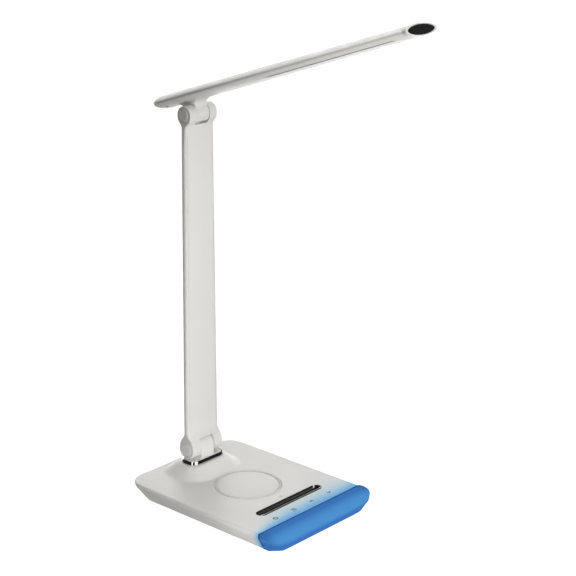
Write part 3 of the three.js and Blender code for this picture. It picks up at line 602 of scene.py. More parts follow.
def make_slot_black():
    """Slot lining: near-black, with a painted highlight line along the front lip, paler painted reflection lines and a
    faint painted light down the rear wall, and painted glints near its right end.
    """
    m = Mat("slot_black", (0.022, 0.022, 0.021), 0.35)
    m.p.inputs["Specular IOR Level"].default_value = 0.0
    x, y, z = m.axis(0), m.math("ADD", m.axis(1), CENTRE_Y * 0.001), m.axis(2)

    def strip(v, a, b, soft=0.00012):
        return m.math("MULTIPLY", m.remap(v, a * 0.001 - soft, a * 0.001 + soft, 0, 1), m.remap(v, b * 0.001 - soft, b * 0.001 + soft, 1, 0))
    top = m.remap(z, 0.0168, 0.0172, 0, 1)
    # painted highlight: a fine bright line along the inner edge of the front lip
    lip_highlight = m.math("MULTIPLY", strip(y, SLOT_FRONT + 1.6, SLOT_FRONT + 2.4), top)
    wall = m.remap(y, (SLOT_REAR - 1.7) * 0.001, (SLOT_REAR - 1.5) * 0.001, 0, 1)
    # painted reflection lines down the rear wall, with the rear wall a touch paler below its rim as painted light
    wall_reflection_lines = m.math("MULTIPLY", m.math("ADD", strip(z, 15.1, 15.5), m.math("MULTIPLY", strip(z, 12.6, 13.2), 0.8)), wall)
    inner = m.math("MULTIPLY", m.math("MULTIPLY", wall, m.math("SUBTRACT", 1.0, top)), 0.035)
    # painted glints: bright beads near the right end, on the rear rim and high on the rear wall
    glint_spacing = m.remap(m.math("COSINE", m.math("MULTIPLY", x, 2 * math.pi / 0.0028)), 0.0, 0.4, 0, 1)
    rear = m.math("MULTIPLY", strip(y, SLOT_REAR - 2.0, SLOT_REAR - 0.2), top)
    painted_glint = m.math("MULTIPLY", m.math("MULTIPLY", glint_spacing, strip(x, 37.2, 42.4)), m.math("MAXIMUM", rear, m.math("MULTIPLY", wall, strip(z, 15.9, 16.7))))
    glow = m.math("ADD", m.math("ADD", m.math("MULTIPLY", lip_highlight, 0.8), m.math("MULTIPLY", wall_reflection_lines, 0.15)), m.math("ADD", inner, m.math("MULTIPLY", painted_glint, 1.0)))
    m.link(m.mix(m.remap(glow, 0, 0.8, 0, 1), (0.022, 0.022, 0.021), (0.92, 0.92, 0.88)), m.p.inputs["Base Color"])
    m.p.inputs["Emission Color"].default_value = (1.0, 0.99, 0.95, 1)
    m.link(m.math("ADD", m.math("MULTIPLY", painted_glint, 0.5), m.math("MULTIPLY", lip_highlight, 0.2)), m.p.inputs["Emission Strength"])
    m.bump(m.noise(300, 2), 0.00001, 0.3)
    m.link(m.remap(m.noise(90), 0.3, 0.7, 0.30, 0.42), m.p.inputs["Roughness"])
    return m.m


SLOT_BLACK = make_slot_black()
BLACK_MATTE = make_black("black_moulded", 0.5, (0.018, 0.018, 0.02), 1.45)


def make_metal(name, color, rough, brush=0.0):
    m = Mat(name, color, rough, 1.0)
    m.vary(120, 0.06, rough * 0.35)
    if brush:
        mp = m.node("ShaderNodeMapping")
        mp.inputs["Scale"].default_value = (40, 1, 1)
        m.link(m.co, mp.inputs["Vector"])
        m.bump(m.noise(300, 2, 0.6, mp.outputs[0]), 0.00002, brush)
    return m.m


STEEL = make_metal("zinc_steel", (0.52, 0.53, 0.54), 0.34, 0.4)
DARK_STEEL = make_metal("dark_screw", (0.10, 0.10, 0.105), 0.4, 0.3)
COPPER = make_metal("enamelled_copper", (0.70, 0.33, 0.17), 0.36, 0.3)


def make_trim():
    """Black mirror finish with bright upright streaks painted on its round corners as reflections."""
    m = Mat("mirror_black_trim", (0.024, 0.024, 0.025), 0.10, 1.0)
    m.vary(120, 0.06, 0.03)
    # painted reflections: bright upright streaks on the left-hand round corners, partly glowing
    u = m.math("SUBTRACT", m.math("ABSOLUTE", m.axis(0)), (FOOT_HALF - FOOT_R) * 0.001)
    mid = ((FOOT_FRONT + FOOT_REAR) / 2 - CENTRE_Y) * 0.001
    v = m.math("SUBTRACT", m.math("ABSOLUTE", m.math("SUBTRACT", m.axis(1), mid)), ((FOOT_REAR - FOOT_FRONT) / 2 - FOOT_R) * 0.001)
    turn = m.math("MULTIPLY", m.math("ARCTAN2", m.math("MAXIMUM", v, 0.0), m.math("MAXIMUM", u, 0.00001)), 180 / math.pi)
    one = m.math("MULTIPLY", m.remap(turn, 25, 29, 0, 1, True), m.remap(turn, 37, 41, 1, 0, True))
    two = m.math("MULTIPLY", m.remap(turn, 54, 58, 0, 1, True), m.remap(turn, 80, 84, 1, 0, True))
    reflection_streak = m.math("MULTIPLY", m.math("ADD", one, two), m.remap(m.axis(0), -0.002, 0.002, 1.0, 0.0))
    m.p.inputs["Emission Color"].default_value = (1.0, 1.0, 1.0, 1)
    m.link(m.math("MULTIPLY", reflection_streak, 0.4), m.p.inputs["Emission Strength"])
    m.link(m.mix(reflection_streak, (0.024, 0.024, 0.025), (1.0, 1.0, 1.0)), m.p.inputs["Base Color"])
    return m.m


TRIM = make_trim()


def make_rubber(name, color, rough):
    m = Mat(name, color, rough)
    m.vary(300, 0.12, 0.05)
    m.bump(m.noise(2200, 3, 0.65), 0.00006, 0.7)
    return m.m


RUBBER = make_rubber("black_rubber", (0.030, 0.030, 0.032), 0.82)
GRIP = make_rubber("pale_silicone", (0.74, 0.735, 0.71), 0.62)
CABLE = make_rubber("sleeved_cable", (0.035, 0.035, 0.04), 0.7)
FERRITE = make_rubber("sintered_ferrite", (0.055, 0.055, 0.06), 0.75)


def make_board(name, mask, pads):
    m = Mat(name, mask, 0.45)
    v = m.node("ShaderNodeTexVoronoi")
    v.inputs["Scale"].default_value = 420
    m.link(m.co, v.inputs["Vector"])
    f = m.remap(v.outputs["Distance"], 0.10, 0.16, 1, 0)
    m.link(m.mix(f, mask, pads), m.p.inputs["Base Color"])
    m.bump(f, 0.00005, 0.5)
    m.link(m.remap(m.noise(150), 0.3, 0.7, 0.38, 0.55), m.p.inputs["Roughness"])
    return m.m


BOARD = make_board("circuit_board", (0.016, 0.13, 0.055), (0.55, 0.50, 0.38))
LED_BOARD = make_board("white_lamp_board", (0.84, 0.84, 0.80), (0.80, 0.72, 0.35))


def make_print(name, color):
    m = Mat(name, color, 0.5)
    m.vary(900, 0.15, 0.05)
    m.bump(m.noise(3000, 2), 0.00001, 0.4)
    return m.m


INK = make_print("grey_ink", (0.010, 0.012, 0.020))
INK_PALE = make_print("pale_ink", (0.25, 0.25, 0.24))

# ------------------------------------------------------------------ base top shell


def bevel_in(z):
    b = BEVEL * (BASE_BAND - z) / (BASE_BAND - BASE_UNDER)
    return 0.5 * (b + math.sqrt(b * b + 0.2))


def base_plan(inset, front=0.0, seg=22):
    w, back, r = BASE_HALF - inset, BASE_BACK - inset, BASE_CORNER
    pts = [(-w, front), (-w / 3, front), (w / 3, front), (w, front)]
    for i in range(seg + 1):
        a = i / seg * math.pi / 2
        pts.append((w - r + r * math.cos(a), back - r + r * math.sin(a)))
    pts += [(7.0, back), (-7.0, back)]
    for i in range(seg + 1):
        a = math.pi / 2 + i / seg * math.pi / 2
        pts.append((-w + r + r * math.cos(a), back - r + r * math.sin(a)))
    return arr(pts)


def mound_ring(off, seg=16):
    return round_plan(-FOOT_HALF - off, FOOT_HALF + off, FOOT_FRONT - off, FOOT_REAR + off, FOOT_R + off, seg)


def make_base_shell():
    levels = [(15.8, WALL, WALL), (14.0, WALL + 0.1, WALL), (1.0, 9.73, WALL), (1.0, 8.05, 0.0), (1.06, 7.72, 0.0), (1.3, 7.42, 0.0)]
    zs = [3.6, 6.0, 9.0, 11.0, 12.2, 12.9, 13.4, 13.8, 14.2, 14.7, 15.3, 16.0]
    levels += [(z, bevel_in(z) if z > 3.7 else 6.0, 0.0) for z in zs]
    levels.append((16.6, 0.0, 0.0))
    for k in range(1, 8):
        a = k / 7 * math.pi / 2
        levels.append((16.6 + 1.4 * math.sin(a), 1.4 * (1 - math.cos(a)), 0.22 * (1 - math.cos(a))))
    rings = [at(base_plan(i, f), z) for z, i, f in levels]
    col = 4 + 23                                   # the plan's edge between x = 7 and x = -7
    lo = next(k for k, l in enumerate(levels) if l[0] == 3.6)
    hi = next(k for k, l in enumerate(levels) if l[0] == 13.4)
    skin = loft(rings, False, False, skip=lambda k, i: i == col and lo <= k < hi)
    parts = [skin]
    # recess round the power socket
    deep = 155.6
    for c, x in ((col, 7.0), (col + 1, -7.0)):
        prof = [rings[k][c] for k in range(lo, hi + 1)]
        poly = prof + [arr((x, deep, 13.4)), arr((x, deep, 3.6))]
        parts.append((arr(poly), [tuple(range(len(poly)))]))
    for k, z in ((lo, 3.6), (hi, 13.4)):
        q = [rings[k][col], rings[k][col + 1], arr((-7.0, deep, z)), arr((7.0, deep, z))]
        parts.append((arr(q), [(0, 1, 2, 3)]))
    parts.append((arr([(7, deep, 3.6), (-7, deep, 3.6), (-7, deep, 13.4), (7, deep, 13.4)]), [(0, 1, 2, 3)]))
    # top: window for the slot, groove for the grip ring, raised mound
    def window(o):
        return round_plan(SLOT_X - SLOT_HALF - GAP - o, SLOT_X + SLOT_HALF + GAP + o, SLOT_FRONT - GAP - o, SLOT_REAR + GAP + o, 5.39 + o, 14)
    top = rings[-1][:, :2]
    c0, c3 = circle(31.62, 120, 0, 76), circle(28.38, 120, 0, 76)
    foot0 = mound_ring(0.4 + MOUND_SPREAD)
    parts.append(fill([top, window(0.12), c0, c3, foot0], BASE_TOP))
    parts.append(loft([at(window(0.12), BASE_TOP), at(window(0.0), BASE_TOP - 0.12), at(window(0.0), 15.8)], False, False))
    parts.append(fill([rings[0][:, :2], window(0.0)], 15.8))
    parts.append(loft([at(c0, BASE_TOP), at(circle(31.5, 120, 0, 76), 17.88), at(circle(31.5, 120, 0, 76), 17.3),
                       at(circle(28.5, 120, 0, 76), 17.3), at(circle(28.5, 120, 0, 76), 17.88), at(c3, BASE_TOP)], False, False))
    rise, steps = MOUND_TOP - BASE_TOP, 44
    rr = []
    for i in range(steps + 1):
        q = 1 - i / steps
        rr.append(at(mound_ring(0.4 + MOUND_SPREAD * q), MOUND_TOP - rise * (0.5 - 0.5 * math.cos(math.pi * q))))
    parts.append(loft(rr, False, True))
    return merge(*parts)


piece("base_top_shell_skin", make_base_shell(), M_BASE, "base", WHITE_BASE, ["base_top_shell"], sharp=34)

# ------------------------------------------------------------------ light bar


def nose_section(x, front=GAP):
    ax = min(abs(x), BASE_HALF)
    cut_back = 0.0
    if ax > BASE_HALF - NOSE_CORNER_X:
        c = 1 - (BASE_HALF - ax) / NOSE_CORNER_X
        cut_back = NOSE_CORNER_Y * (1 - math.sqrt(max(0.0, 1 - c * c)))
    D = NOSE - cut_back
    zb = BASE_UNDER + (BASE_BAND - BASE_UNDER) * max(0.0, ax - (BASE_HALF - BEVEL)) / BEVEL
    zt = BASE_TOP
    zm = zb + (NOSE_MID - BASE_UNDER) * (zt - zb) / (BASE_TOP - BASE_UNDER)
    foot = D - (NOSE - NOSE_FOOT) * D / NOSE * min(1.0, (zm - zb) / 5)
    foot -= NOSE_UNDER_Y * max(0.0, 1 - (BASE_HALF - ax) / NOSE_UNDER_X) ** 1.1
    foot = max(foot, front + 0.7)
    us = [0.032, 0.05, 0.075, 0.105, 0.14, 0.18, 0.23, 0.29, 0.35, 0.42, 0.49, 0.56, 0.63, 0.69, 0.75]
    a0 = math.acos(0.75 ** 1.6)
    params = [(u, math.acos(min(1.0, u ** 1.6))) for u in us]
    params += [(math.cos(a0 * (1 - i / 14)) ** 0.625, a0 * (1 - i / 14)) for i in range(1, 15)]
    pts = [(front, zb + (zt - zb) * 0.5), (front, zt - 0.12), (front + 0.1, zt + 0.02)]
    for u, a in params:
        d = max(front + 0.15, D * u)
        z = zm + (zt - zm) * math.sin(a) ** 0.625 + NOSE_SWELL * (D / NOSE) * max(0.0, math.sin(math.pi * min(1.0, d / D))) ** 0.8
        pts.append((d, z))
    for i in range(1, 19):
        t = i / 18
        pts.append((foot + (D - foot) * (1 - t ** 1.3) ** (1 / 1.3), zm - t * (zm - zb)))
    pts.append((front, zb))
    return arr([(x, -d, z) for d, z in pts])


def make_bar():
    xs = [0, 13, 26, 36]
    start = BASE_HALF - NOSE_CORNER_X
    xs += [start + NOSE_CORNER_X * math.sin(k / 28 * math.pi / 2) for k in range(0, 29)]
    xs += [BASE_HALF - BEVEL, BASE_HALF - NOSE_UNDER_X]
    xs = sorted(set(round(x, 4) for x in xs))
    xs = [x for i, x in enumerate(xs) if i == 0 or x - xs[i - 1] > 0.03]
    order = [-x for x in reversed(xs)] + xs[1:]
    return loft([nose_section(x) for x in order])


piece("front_light_bar_lens", make_bar(), M_BASE, "base", BLUE, ["front_light_bar"], sharp=50)

# ------------------------------------------------------------------ slot


def make_liner():
    def outer(o):
        return round_plan(SLOT_X - SLOT_HALF + o, SLOT_X + SLOT_HALF - o, SLOT_FRONT + o, SLOT_REAR - o, 5.09 - o, 16)

    def well(f, e, b):
        x, y0, y1 = SLOT_HALF - e, SLOT_FRONT + f, SLOT_REAR - b
        return round_plan(SLOT_X - x, SLOT_X + x, y0, y1, (y1 - y0) / 2 - 0.01, 16)
    top = BASE_TOP - 0.05
    rings = [at(outer(0.6), 8.0), at(outer(0.15), 8.2), at(outer(0), 8.7), at(outer(0), top - 0.25), at(outer(0.07), top - 0.07), at(outer(0.25), top)]
    rings += [at(well(1.75, 1.35, 0.55), top - 0.02), at(well(2.02, 1.58, 0.72), top - 0.10), at(well(2.16, 1.70, 0.82), top - 0.32),
              at(well(2.18, 1.72, 0.84), top - 0.8), at(well(2.2, 1.75, 0.85), SLOT_FLOOR + 1.0),
              at(well(2.5, 2.05, 1.15), SLOT_FLOOR + 0.3), at(well(3.1, 2.65, 1.75), SLOT_FLOOR)]
    return loft(rings)


piece("phone_slot_liner_gloss", make_liner(), M_BASE, "base", SLOT_BLACK, ["phone_slot_liner"], sharp=45)

# ------------------------------------------------------------------ grip ring over the coil

ring_prof = [(31.1, 17.6), (31.1, 18.12), (31.0, 18.24), (30.8, 18.3), (29.2, 18.3), (29.0, 18.24), (28.9, 18.12), (28.9, 17.6)]
piece("charging_pad_grip", turned(lathe(ring_prof, 128, closed=True), Matrix.Translation((0, 76, 0))), M_BASE, "base", GRIP,
      ["charging_pad_ring"])

# ------------------------------------------------------------------ printed touch marks


def band(cx, cy, r0, r1, a0, a1, n=20):
    A = [math.radians(a0 + (a1 - a0) * i / n) for i in range(n + 1)]
    return arr([(cx + r1 * math.cos(a), cy + r1 * math.sin(a)) for a in A] + [(cx + r0 * math.cos(a), cy + r0 * math.sin(a)) for a in reversed(A)])


def stick(cx, cy, w, h, turn=0.0):
    c, s = math.cos(math.radians(turn)), math.sin(math.radians(turn))
    return arr([(cx + x * c - y * s, cy + x * s + y * c) for x, y in ((-w / 2, -h / 2), (w / 2, -h / 2), (w / 2, h / 2), (-w / 2, h / 2))])


def marks(name, loops, mat, x, y):
    parts = [plate2d([L * 1.25], 0.0, 0.035) for L in loops]
    vf = turned(merge(*parts), Matrix.Translation((x, y, BASE_TOP)))
    return piece(name, vf, M_BASE, "base", mat, weighted=False)


# clock for the timer
marks("touch_mark_timer", [band(0, 0, 1.15, 1.95, 50, 400, 30), stick(0, 0.45, 0.6, 1.3), stick(0.45, 0.0, 1.1, 0.6)], INK, -34.8, 9.7)
# small squares for the kind of light
marks("touch_mark_mode", [stick(dx, dy, 0.92, 0.92) for dx in (-1.3, 0.0, 1.3) for dy in (-1.25, 0.0, 1.25)], INK, -10.7, 9.7)
# arrowheads for brighter and dimmer
marks("touch_mark_brighter", [arr([(-2.0, -0.65), (-1.35, -1.3), (0.0, 0.1), (1.35, -1.3), (2.0, -0.65), (0.0, 1.35)])], INK, 13.3, 9.7)
marks("touch_mark_dimmer", [arr([(-2.0, 0.65), (0.0, -1.35), (2.0, 0.65), (1.35, 1.3), (0.0, -0.1), (-1.35, 1.3)])], INK, 37.6, 9.7)
# faint bolt that marks the charging end
marks("charging_mark", [arr([(0.35, 1.5), (-0.95, -0.15), (-0.12, -0.15), (-0.35, -1.5), (0.95, 0.25), (0.12, 0.25)])], INK_PALE, 1.8, 36.9)

# ------------------------------------------------------------------ chromed trim and hinge foot


def foot_ring(o, seg=16):
    return round_plan(-FOOT_HALF + o, FOOT_HALF - o, FOOT_FRONT + o, FOOT_REAR - o, max(0.3, FOOT_R - o), seg)


z0 = MOUND_TOP + GAP
trim = [at(foot_ring(0.12), z0), at(foot_ring(0.0), z0 + 0.15), at(foot_ring(0.0), z0 + 2.45), at(foot_ring(0.06), z0 + 2.62), at(foot_ring(0.2), z0 + 2.75),
        at(foot_ring(0.4), z0 + 2.8), at(foot_ring(0.95), z0 + 2.8), at(foot_ring(1.2), z0 + 2.7), at(foot_ring(1.3), z0 + 2.5), at(foot_ring(1.3), z0)]
piece("chrome_foot_trim_ring", loft(trim, wrap=True), M_BASE, "base", TRIM, ["chrome_foot_trim"], sharp=50)


def make_foot():
    o = 1.6
    rings = [at(foot_ring(o), z0), at(foot_ring(o), z0 + 3.0)]
    for k in range(1, 5):
        a = k / 4 * math.pi / 2
        rings.append(at(foot_ring(o + 0.4 * (1 - math.cos(a))), z0 + 2.8 + 0.4 * math.sin(a)))
    plate = new_mesh(loft(rings))
    r, deck = TAB_R, z0 + 3.2
    P = [(LOWER_Y - r, deck - 1.5), (LOWER_Y + 5.6, deck - 1.5)]
    a1 = math.acos(5.6 / r)
    P += [(LOWER_Y + r * math.cos(a1 + (math.pi - a1) * i / 36), LOWER_Z + r * math.sin(a1 + (math.pi - a1) * i / 36)) for i in range(37)]
    tab = new_mesh(extrude_round(arr(P), TAB_HALF, 0.4))
    # flare where the tab stands on the plate
    flare = []
    for k in range(0, 9):
        t = k / 8
        g = 1.15 * (1 - math.sin(t * math.pi / 2))
        flare.append(at(round_plan(-TAB_HALF + 0.05 - g, TAB_HALF - 0.05 + g, LOWER_Y - r + 0.05 - g * 0.75, LOWER_Y + 5.55 + g * 0.9, 0.5 + g, 6),
                        deck - 0.02 + 1.12 * (1 - math.cos(t * math.pi / 2))))
    flare.insert(0, flare[0] + arr((0, 0, -0.8)))
    me = boolean(plate, ("UNION", new_mesh(loft(flare))), ("UNION", tab), ("DIFFERENCE", rod_x(PIN_R + GAP, -14, 14, LOWER_Y, LOWER_Z)),
                 ("DIFFERENCE", rod_z(1.6, 26, 30.2, -15, 135.4)), ("DIFFERENCE", rod_z(1.6, 26, 30.2, 15, 135.4)))
    return me


piece("hinge_foot_block", make_foot(), M_BASE, "base", WHITE, ["hinge_foot"], sharp=42)

# ------------------------------------------------------------------ arm


def arm_half(z):
    return ARM_HALF_LOW + (ARM_HALF_TOP - ARM_HALF_LOW) * z / ARM_LENGTH


def plate_half(z):
    return 20.75 - 0.0075 * z


def ease(t):
    q = np.clip(t, 0, 1)
    return q * q * (3 - 2 * q)


def on_plate(z):
    return ease((z - 8) / 12) * ease((ARM_LENGTH - 6 - z) / 10)


def spline(pts, n):
    """Smooth line through points, n steps between neighbours."""
    P = arr([pts[0]] + list(pts) + [pts[-1]])
    out = []
    for i in range(1, len(P) - 2):
        p0, p1, p2, p3 = P[i - 1:i + 3]
        for k in range(n):
            t = k / n
            out.append(0.5 * (2 * p1 + (p2 - p0) * t + (2 * p0 - 5 * p1 + 4 * p2 - p3) * t * t + (3 * p1 - p0 - 3 * p2 + p3) * t ** 3))
    out.append(P[-1])
    return [tuple(q) for q in out]


def arm_outline():
    t, L = ARM_THICK / 2, ARM_LENGTH
    deg = math.pi / 180
    bottom = [(KNUCKLE_LOW * math.cos(a * deg), KNUCKLE_LOW * math.sin(a * deg)) for a in np.linspace(171, 369, 61)]
    top = [(KNUCKLE_TOP * math.cos(a * deg), L + KNUCKLE_TOP * math.sin(a * deg)) for a in np.linspace(-15, 195, 65)]
    low = spline([bottom[-1], (8.95, 3.4), (8.45, 5.4), (7.85, 7.0), (6.5, 9.4), (5.1, 11.3), (3.95, 12.9), (3.25, 14.4), (t, 16.6)], 3)[1:]
    high = spline([(t, L - 12.0), (3.4, L - 10.2), (4.6, L - 8.6), (6.0, L - 7.0), (7.1, L - 5.4), (7.85, L - 3.8), top[0]], 3)[:-1]
    middle = [(t, z) for z in np.linspace(16.6, L - 12.0, 16)[1:-1]]
    right = low + middle + high
    return arr(bottom + right + top + [(-y, z) for y, z in reversed(right)])


def tapered(z0_, z1_, inset, y0, y1):
    """Panel-shaped block on the arm's front, tapering with it."""
    P0 = arr([(-plate_half(z0_) + inset, z0_), (plate_half(z0_) - inset, z0_), (plate_half(z1_) - inset, z1_), (-plate_half(z1_) + inset, z1_)])
    rings = [np.column_stack([P0[:, 0], np.full(4, y), P0[:, 1]]) for y in (y0, y1)]
    return loft(rings)


PANEL = (20.0, ARM_LENGTH - 14.4, 3.0)      # recess: lower edge, upper edge, inset


def make_arm():
    L = ARM_LENGTH
    me = new_mesh(extrude_round(arm_outline(), 0, 0, 8, width=lambda z: arm_half(z) + (plate_half(z) - arm_half(z)) * on_plate(z),
                                soft=lambda z: 1.0 + (ARM_THICK / 2 - 0.04 - 1.0) * on_plate(z)), 1e-5)
    cuts = [box_mesh(-TAB_HALF - GAP, TAB_HALF + GAP, -15, 15, -15, NOTCH_LOW), box_mesh(-NECK_HALF - GAP, NECK_HALF + GAP, -15, 15, L - NOTCH_TOP, L + 15)]
    for z, inner, cap in ((0, TAB_HALF + GAP, CAP_LOW), (L, NECK_HALF + GAP, CAP_TOP)):
        w = arm_half(z)
        for s in (-1, 1):
            for r, a, b in ((cap + GAP, w - 1.2, 25), (5.0, w - 4.4, 25), (6.2, inner - 1, inner + 1.2)):
                cuts.append(rod_x(r, min(s * a, s * b), max(s * a, s * b), 0, z, 64))
        cuts.append(rod_x(PIN_R + GAP, -25, 25, 0, z))
    z0_, z1_, inset = PANEL
    cuts += [new_mesh(tapered(z0_, z1_, inset, -6, -1.2)), box_mesh(-5.5, 5.5, -3, 1.0, 24, L - 20), box_mesh(-3.5, 3.5, -0.9, 1.0, 5, L - 5)]
    me = boolean(me, *[("DIFFERENCE", c) for c in cuts])
    return bevel(me, 0.18, 2, 50)


piece("arm_rear_shell_skin", make_arm(), M_ARM, "arm", WHITE_ARM, ["arm_rear_shell"], sharp=42)


def make_cover():
    z0_, z1_, inset = PANEL
    return bevel(new_mesh(tapered(z0_ + 0.015, z1_ - 0.015, inset + 0.26, -ARM_THICK / 2, -1.5)), 0.02, 2, 50)


piece("arm_front_cover_panel", make_cover(), M_ARM, "arm", WHITE_ARM, ["arm_front_cover"], sharp=42)

for label, z, cap in (("lower", 0.0, CAP_LOW), ("upper", ARM_LENGTH, CAP_TOP)):
    w = arm_half(z)
    for where, s in (("left", -1), ("right", 1)):
        prof = [(cap - 0.4, w - 0.85), (cap - 0.05, w - 0.7), (cap, w - 0.5), (cap, w - 0.02), (cap - 0.03, w + 0.05), (cap - 0.10, w + 0.12),
                (cap - 0.95, w + 0.62), (cap - 1.06, w + 0.67), (cap - 1.18, w + 0.69), (cap - 1.4, w + 0.69), (3.0, w + 0.68), (0.02, w + 0.68)]
        vf = turned(lathe(prof, 72), ALONG_X)
        if s < 0:
            vf = turned(vf, Matrix.Diagonal((-1, 1, 1, 1)))
        piece(f"{label}_hinge_cap_{where}_disc", turned(vf, Matrix.Translation((0, 0, z))), M_ARM, "arm", WHITE,
              [f"{label}_hinge_cap_{where}"], sharp=50)

# ------------------------------------------------------------------ head


def thick_at(y):
    return HEAD_THICK_REAR + (HEAD_THICK_FRONT - HEAD_THICK_REAR) * (HEAD_REAR - y) / HEAD_LENGTH


HEAD_FRONT = HEAD_REAR - HEAD_LENGTH
END_Y = HEAD_FRONT + 4.6


def lens_pt(a, half, thick):
    c, s = math.cos(a), math.sin(a)
    return (half * math.copysign(abs(c) ** 1.08, c), thick * math.copysign(abs(s) ** 1.08, s))


def lens(y, half, thick, slant=0.0, n=96):
    out = []
    for i in range(n):
        x, z = lens_pt(i / n * 2 * math.pi, half, thick)
        out.append((x, y + z * slant, HEAD_LIFT + z))
    return arr(out)


def half_lens(y, half, thick, up, lift=GAP / 2, n=64):
    """One half of the lens section, closed along a flat line just off its middle."""
    a0 = math.copysign(math.asin(min(1.0, (abs(lift) / thick) ** (1 / 1.08))), lift)
    out = []
    for i in range(n + 1):
        x, z = lens_pt(a0 + (math.pi - 2 * a0) * i / n, half, thick)
        out.append((x, y, HEAD_LIFT + (z if up else -z)))
    return arr(out)


def half_solid(up, shrink_x, shrink_z, y_rear, y_front, lift, soft):
    ys = []
    if soft:
        for k in range(0, 7):
            a = k / 6 * math.pi / 2
            ys.append((y_rear - soft * (1 - math.cos(a)), soft * (1 - math.sin(a))))
    else:
        ys.append((y_rear, 0.0))
    n = 40
    y1 = ys[-1][0]
    ys += [(y1 + (y_front - y1) * i / n, 0.0) for i in range(1, n + 1)]
    rings = [half_lens(y, HEAD_HALF - shrink_x - q, thick_at(y) - shrink_z - q * 0.7, up, lift) for y, q in ys]
    return new_mesh(loft(rings))


def lower_z(x, y, grow=0.0):
    """Height of the head's underside above a point of its plan."""
    half, thick = HEAD_HALF + grow, thick_at(y) + grow
    c = min(1.0, abs(x) / half) ** (1 / 1.08)
    return HEAD_LIFT - thick * math.sqrt(max(0.0, 1 - c * c)) ** 1.08


def make_upper():
    return boolean(half_solid(True, 0, 0, HEAD_REAR, END_Y, GAP / 2, 0.9),
                   ("DIFFERENCE", half_solid(True, 1.9, 1.5, HEAD_REAR - 2.0, END_Y - 3, -0.6, 0)))


def make_lower():
    me = half_solid(False, 0, 0, HEAD_REAR, END_Y, GAP / 2, 0.9)
    inner = half_solid(False, 1.9, 1.5, HEAD_REAR - 2.0, END_Y - 3, -0.6, 0)
    web = []
    for k in range(0, 25):
        t = k / 24
        z = 12.2 * t
        g = max(0.0, (z - 5.6) / 6.6)
        hy = 7.8 - 0.8 * min(1.0, z / 5.0) + 7.4 * g ** 2.3
        hx = NECK_HALF + 3.5 * g ** 2.6
        web.append(at(round_plan(-hx, hx, -hy, hy, 0.7 + 2.0 * g, 6), z))
    knuckle = new_mesh(turned(extrude_round(circle(NECK_R, 96), NECK_HALF, 0.45, 5), Matrix.Identity(4)))
    window = round_plan(-DIFF_HALF - 0.6, DIFF_HALF + 0.6, HEAD_REAR - DIFF_FAR - 0.6, HEAD_REAR - DIFF_NEAR + 0.05, 14.5, 20)
    cut_window = new_mesh(loft([at(window, HEAD_LIFT - 9), at(window, HEAD_LIFT - 0.5)]))
    steps = [("DIFFERENCE", inner), ("UNION", new_mesh(loft(web))), ("UNION", knuckle),
             ("DIFFERENCE", rod_x(PIN_R + GAP, -30, 30, 0, 0)), ("DIFFERENCE", rod_z(2.2, 4.5, 13.5, 0, 5.0)), ("DIFFERENCE", cut_window)]
    for x in (-12.6, 12.6):
        steps.append(("DIFFERENCE", rod_z(2.0, HEAD_LIFT - 8, HEAD_LIFT - 0.3, x, HEAD_REAR - 8.9)))
    return boolean(me, *steps)


piece("head_upper_shell_skin", make_upper(), M_HEAD, "head", WHITE_HEAD, ["head_upper_shell"], sharp=38)
piece("head_lower_shell_skin", make_lower(), M_HEAD, "head", WHITE_HEAD, ["head_lower_shell"], sharp=38)


def make_diffuser_mesh():
    y0, y1 = HEAD_REAR - DIFF_FAR, HEAD_REAR - DIFF_NEAR

    def ring(o, seg=22):
        return round_plan(-DIFF_HALF + o, DIFF_HALF - o, y0 + o, y1 - o, max(0.02, 13.92 - o), seg, mid=24)
    rings = []
    for o in (13.9, 13.0, 11.5, 9.8, 8.0, 6.0, 4.0):
        rings.append((o, "in"))
    rings.append((0.0, "in"))
    rings.append((0.0, "edge"))
    for k in range(1, 6):
        a = k / 5 * math.pi / 2
        rings.append((0.5 * (1 - math.cos(a)), 0.1 * math.sin(a)))
    for o in (1.0, 2.0, 3.2, 4.6, 6.2, 8.0, 9.6, 10.8, 12.0, 13.0, 13.9):
        rings.append((o, 0.1))
    out = []
    for o, kind in rings:
        P = ring(o)
        if kind == "in":
            z = [lower_z(x * 0.985, y) + 1.2 for x, y in P]
        elif kind == "edge":
            z = [lower_z(x, y) + 0.1 for x, y in P]
        else:
            z = [lower_z(x, y) - kind for x, y in P]
        out.append(np.column_stack([P, z]))
    return loft(out)


piece("head_diffuser_panel", make_diffuser_mesh(), M_HEAD, "head", DIFFUSER, ["head_diffuser"], sharp=60)

SLANT = math.tan(math.radians(HEAD_SLANT))
T_END = thick_at(HEAD_FRONT)


def make_end_ring():
    tE = T_END
    rings = [lens(END_Y - GAP, HEAD_HALF - 0.12, thick_at(END_Y) - 0.1), lens(END_Y - GAP - 0.12, HEAD_HALF, thick_at(END_Y)),
             lens(HEAD_FRONT + 0.5, HEAD_HALF, tE, SLANT)]
    for k in range(1, 6):
        a = k / 5 * math.pi / 2
        rings.append(lens(HEAD_FRONT + 0.5 - 0.5 * math.sin(a), HEAD_HALF - 0.5 * (1 - math.cos(a)), tE - 0.4 * (1 - math.cos(a)), SLANT))
    for k in range(0, 5):
        a = k / 4 * math.pi / 2
        rings.append(lens(HEAD_FRONT + 0.25 * (1 - math.cos(a)), HEAD_HALF - 2.65 - 0.25 * math.sin(a), tE - 0.8 - 0.15 * math.sin(a), SLANT))
    rings.append(lens(HEAD_FRONT + 3.2, HEAD_HALF - 2.9, tE - 0.95, SLANT))
    rings.append(lens(END_Y - GAP, HEAD_HALF - 2.9, tE - 0.95))
    return loft(rings, wrap=True)


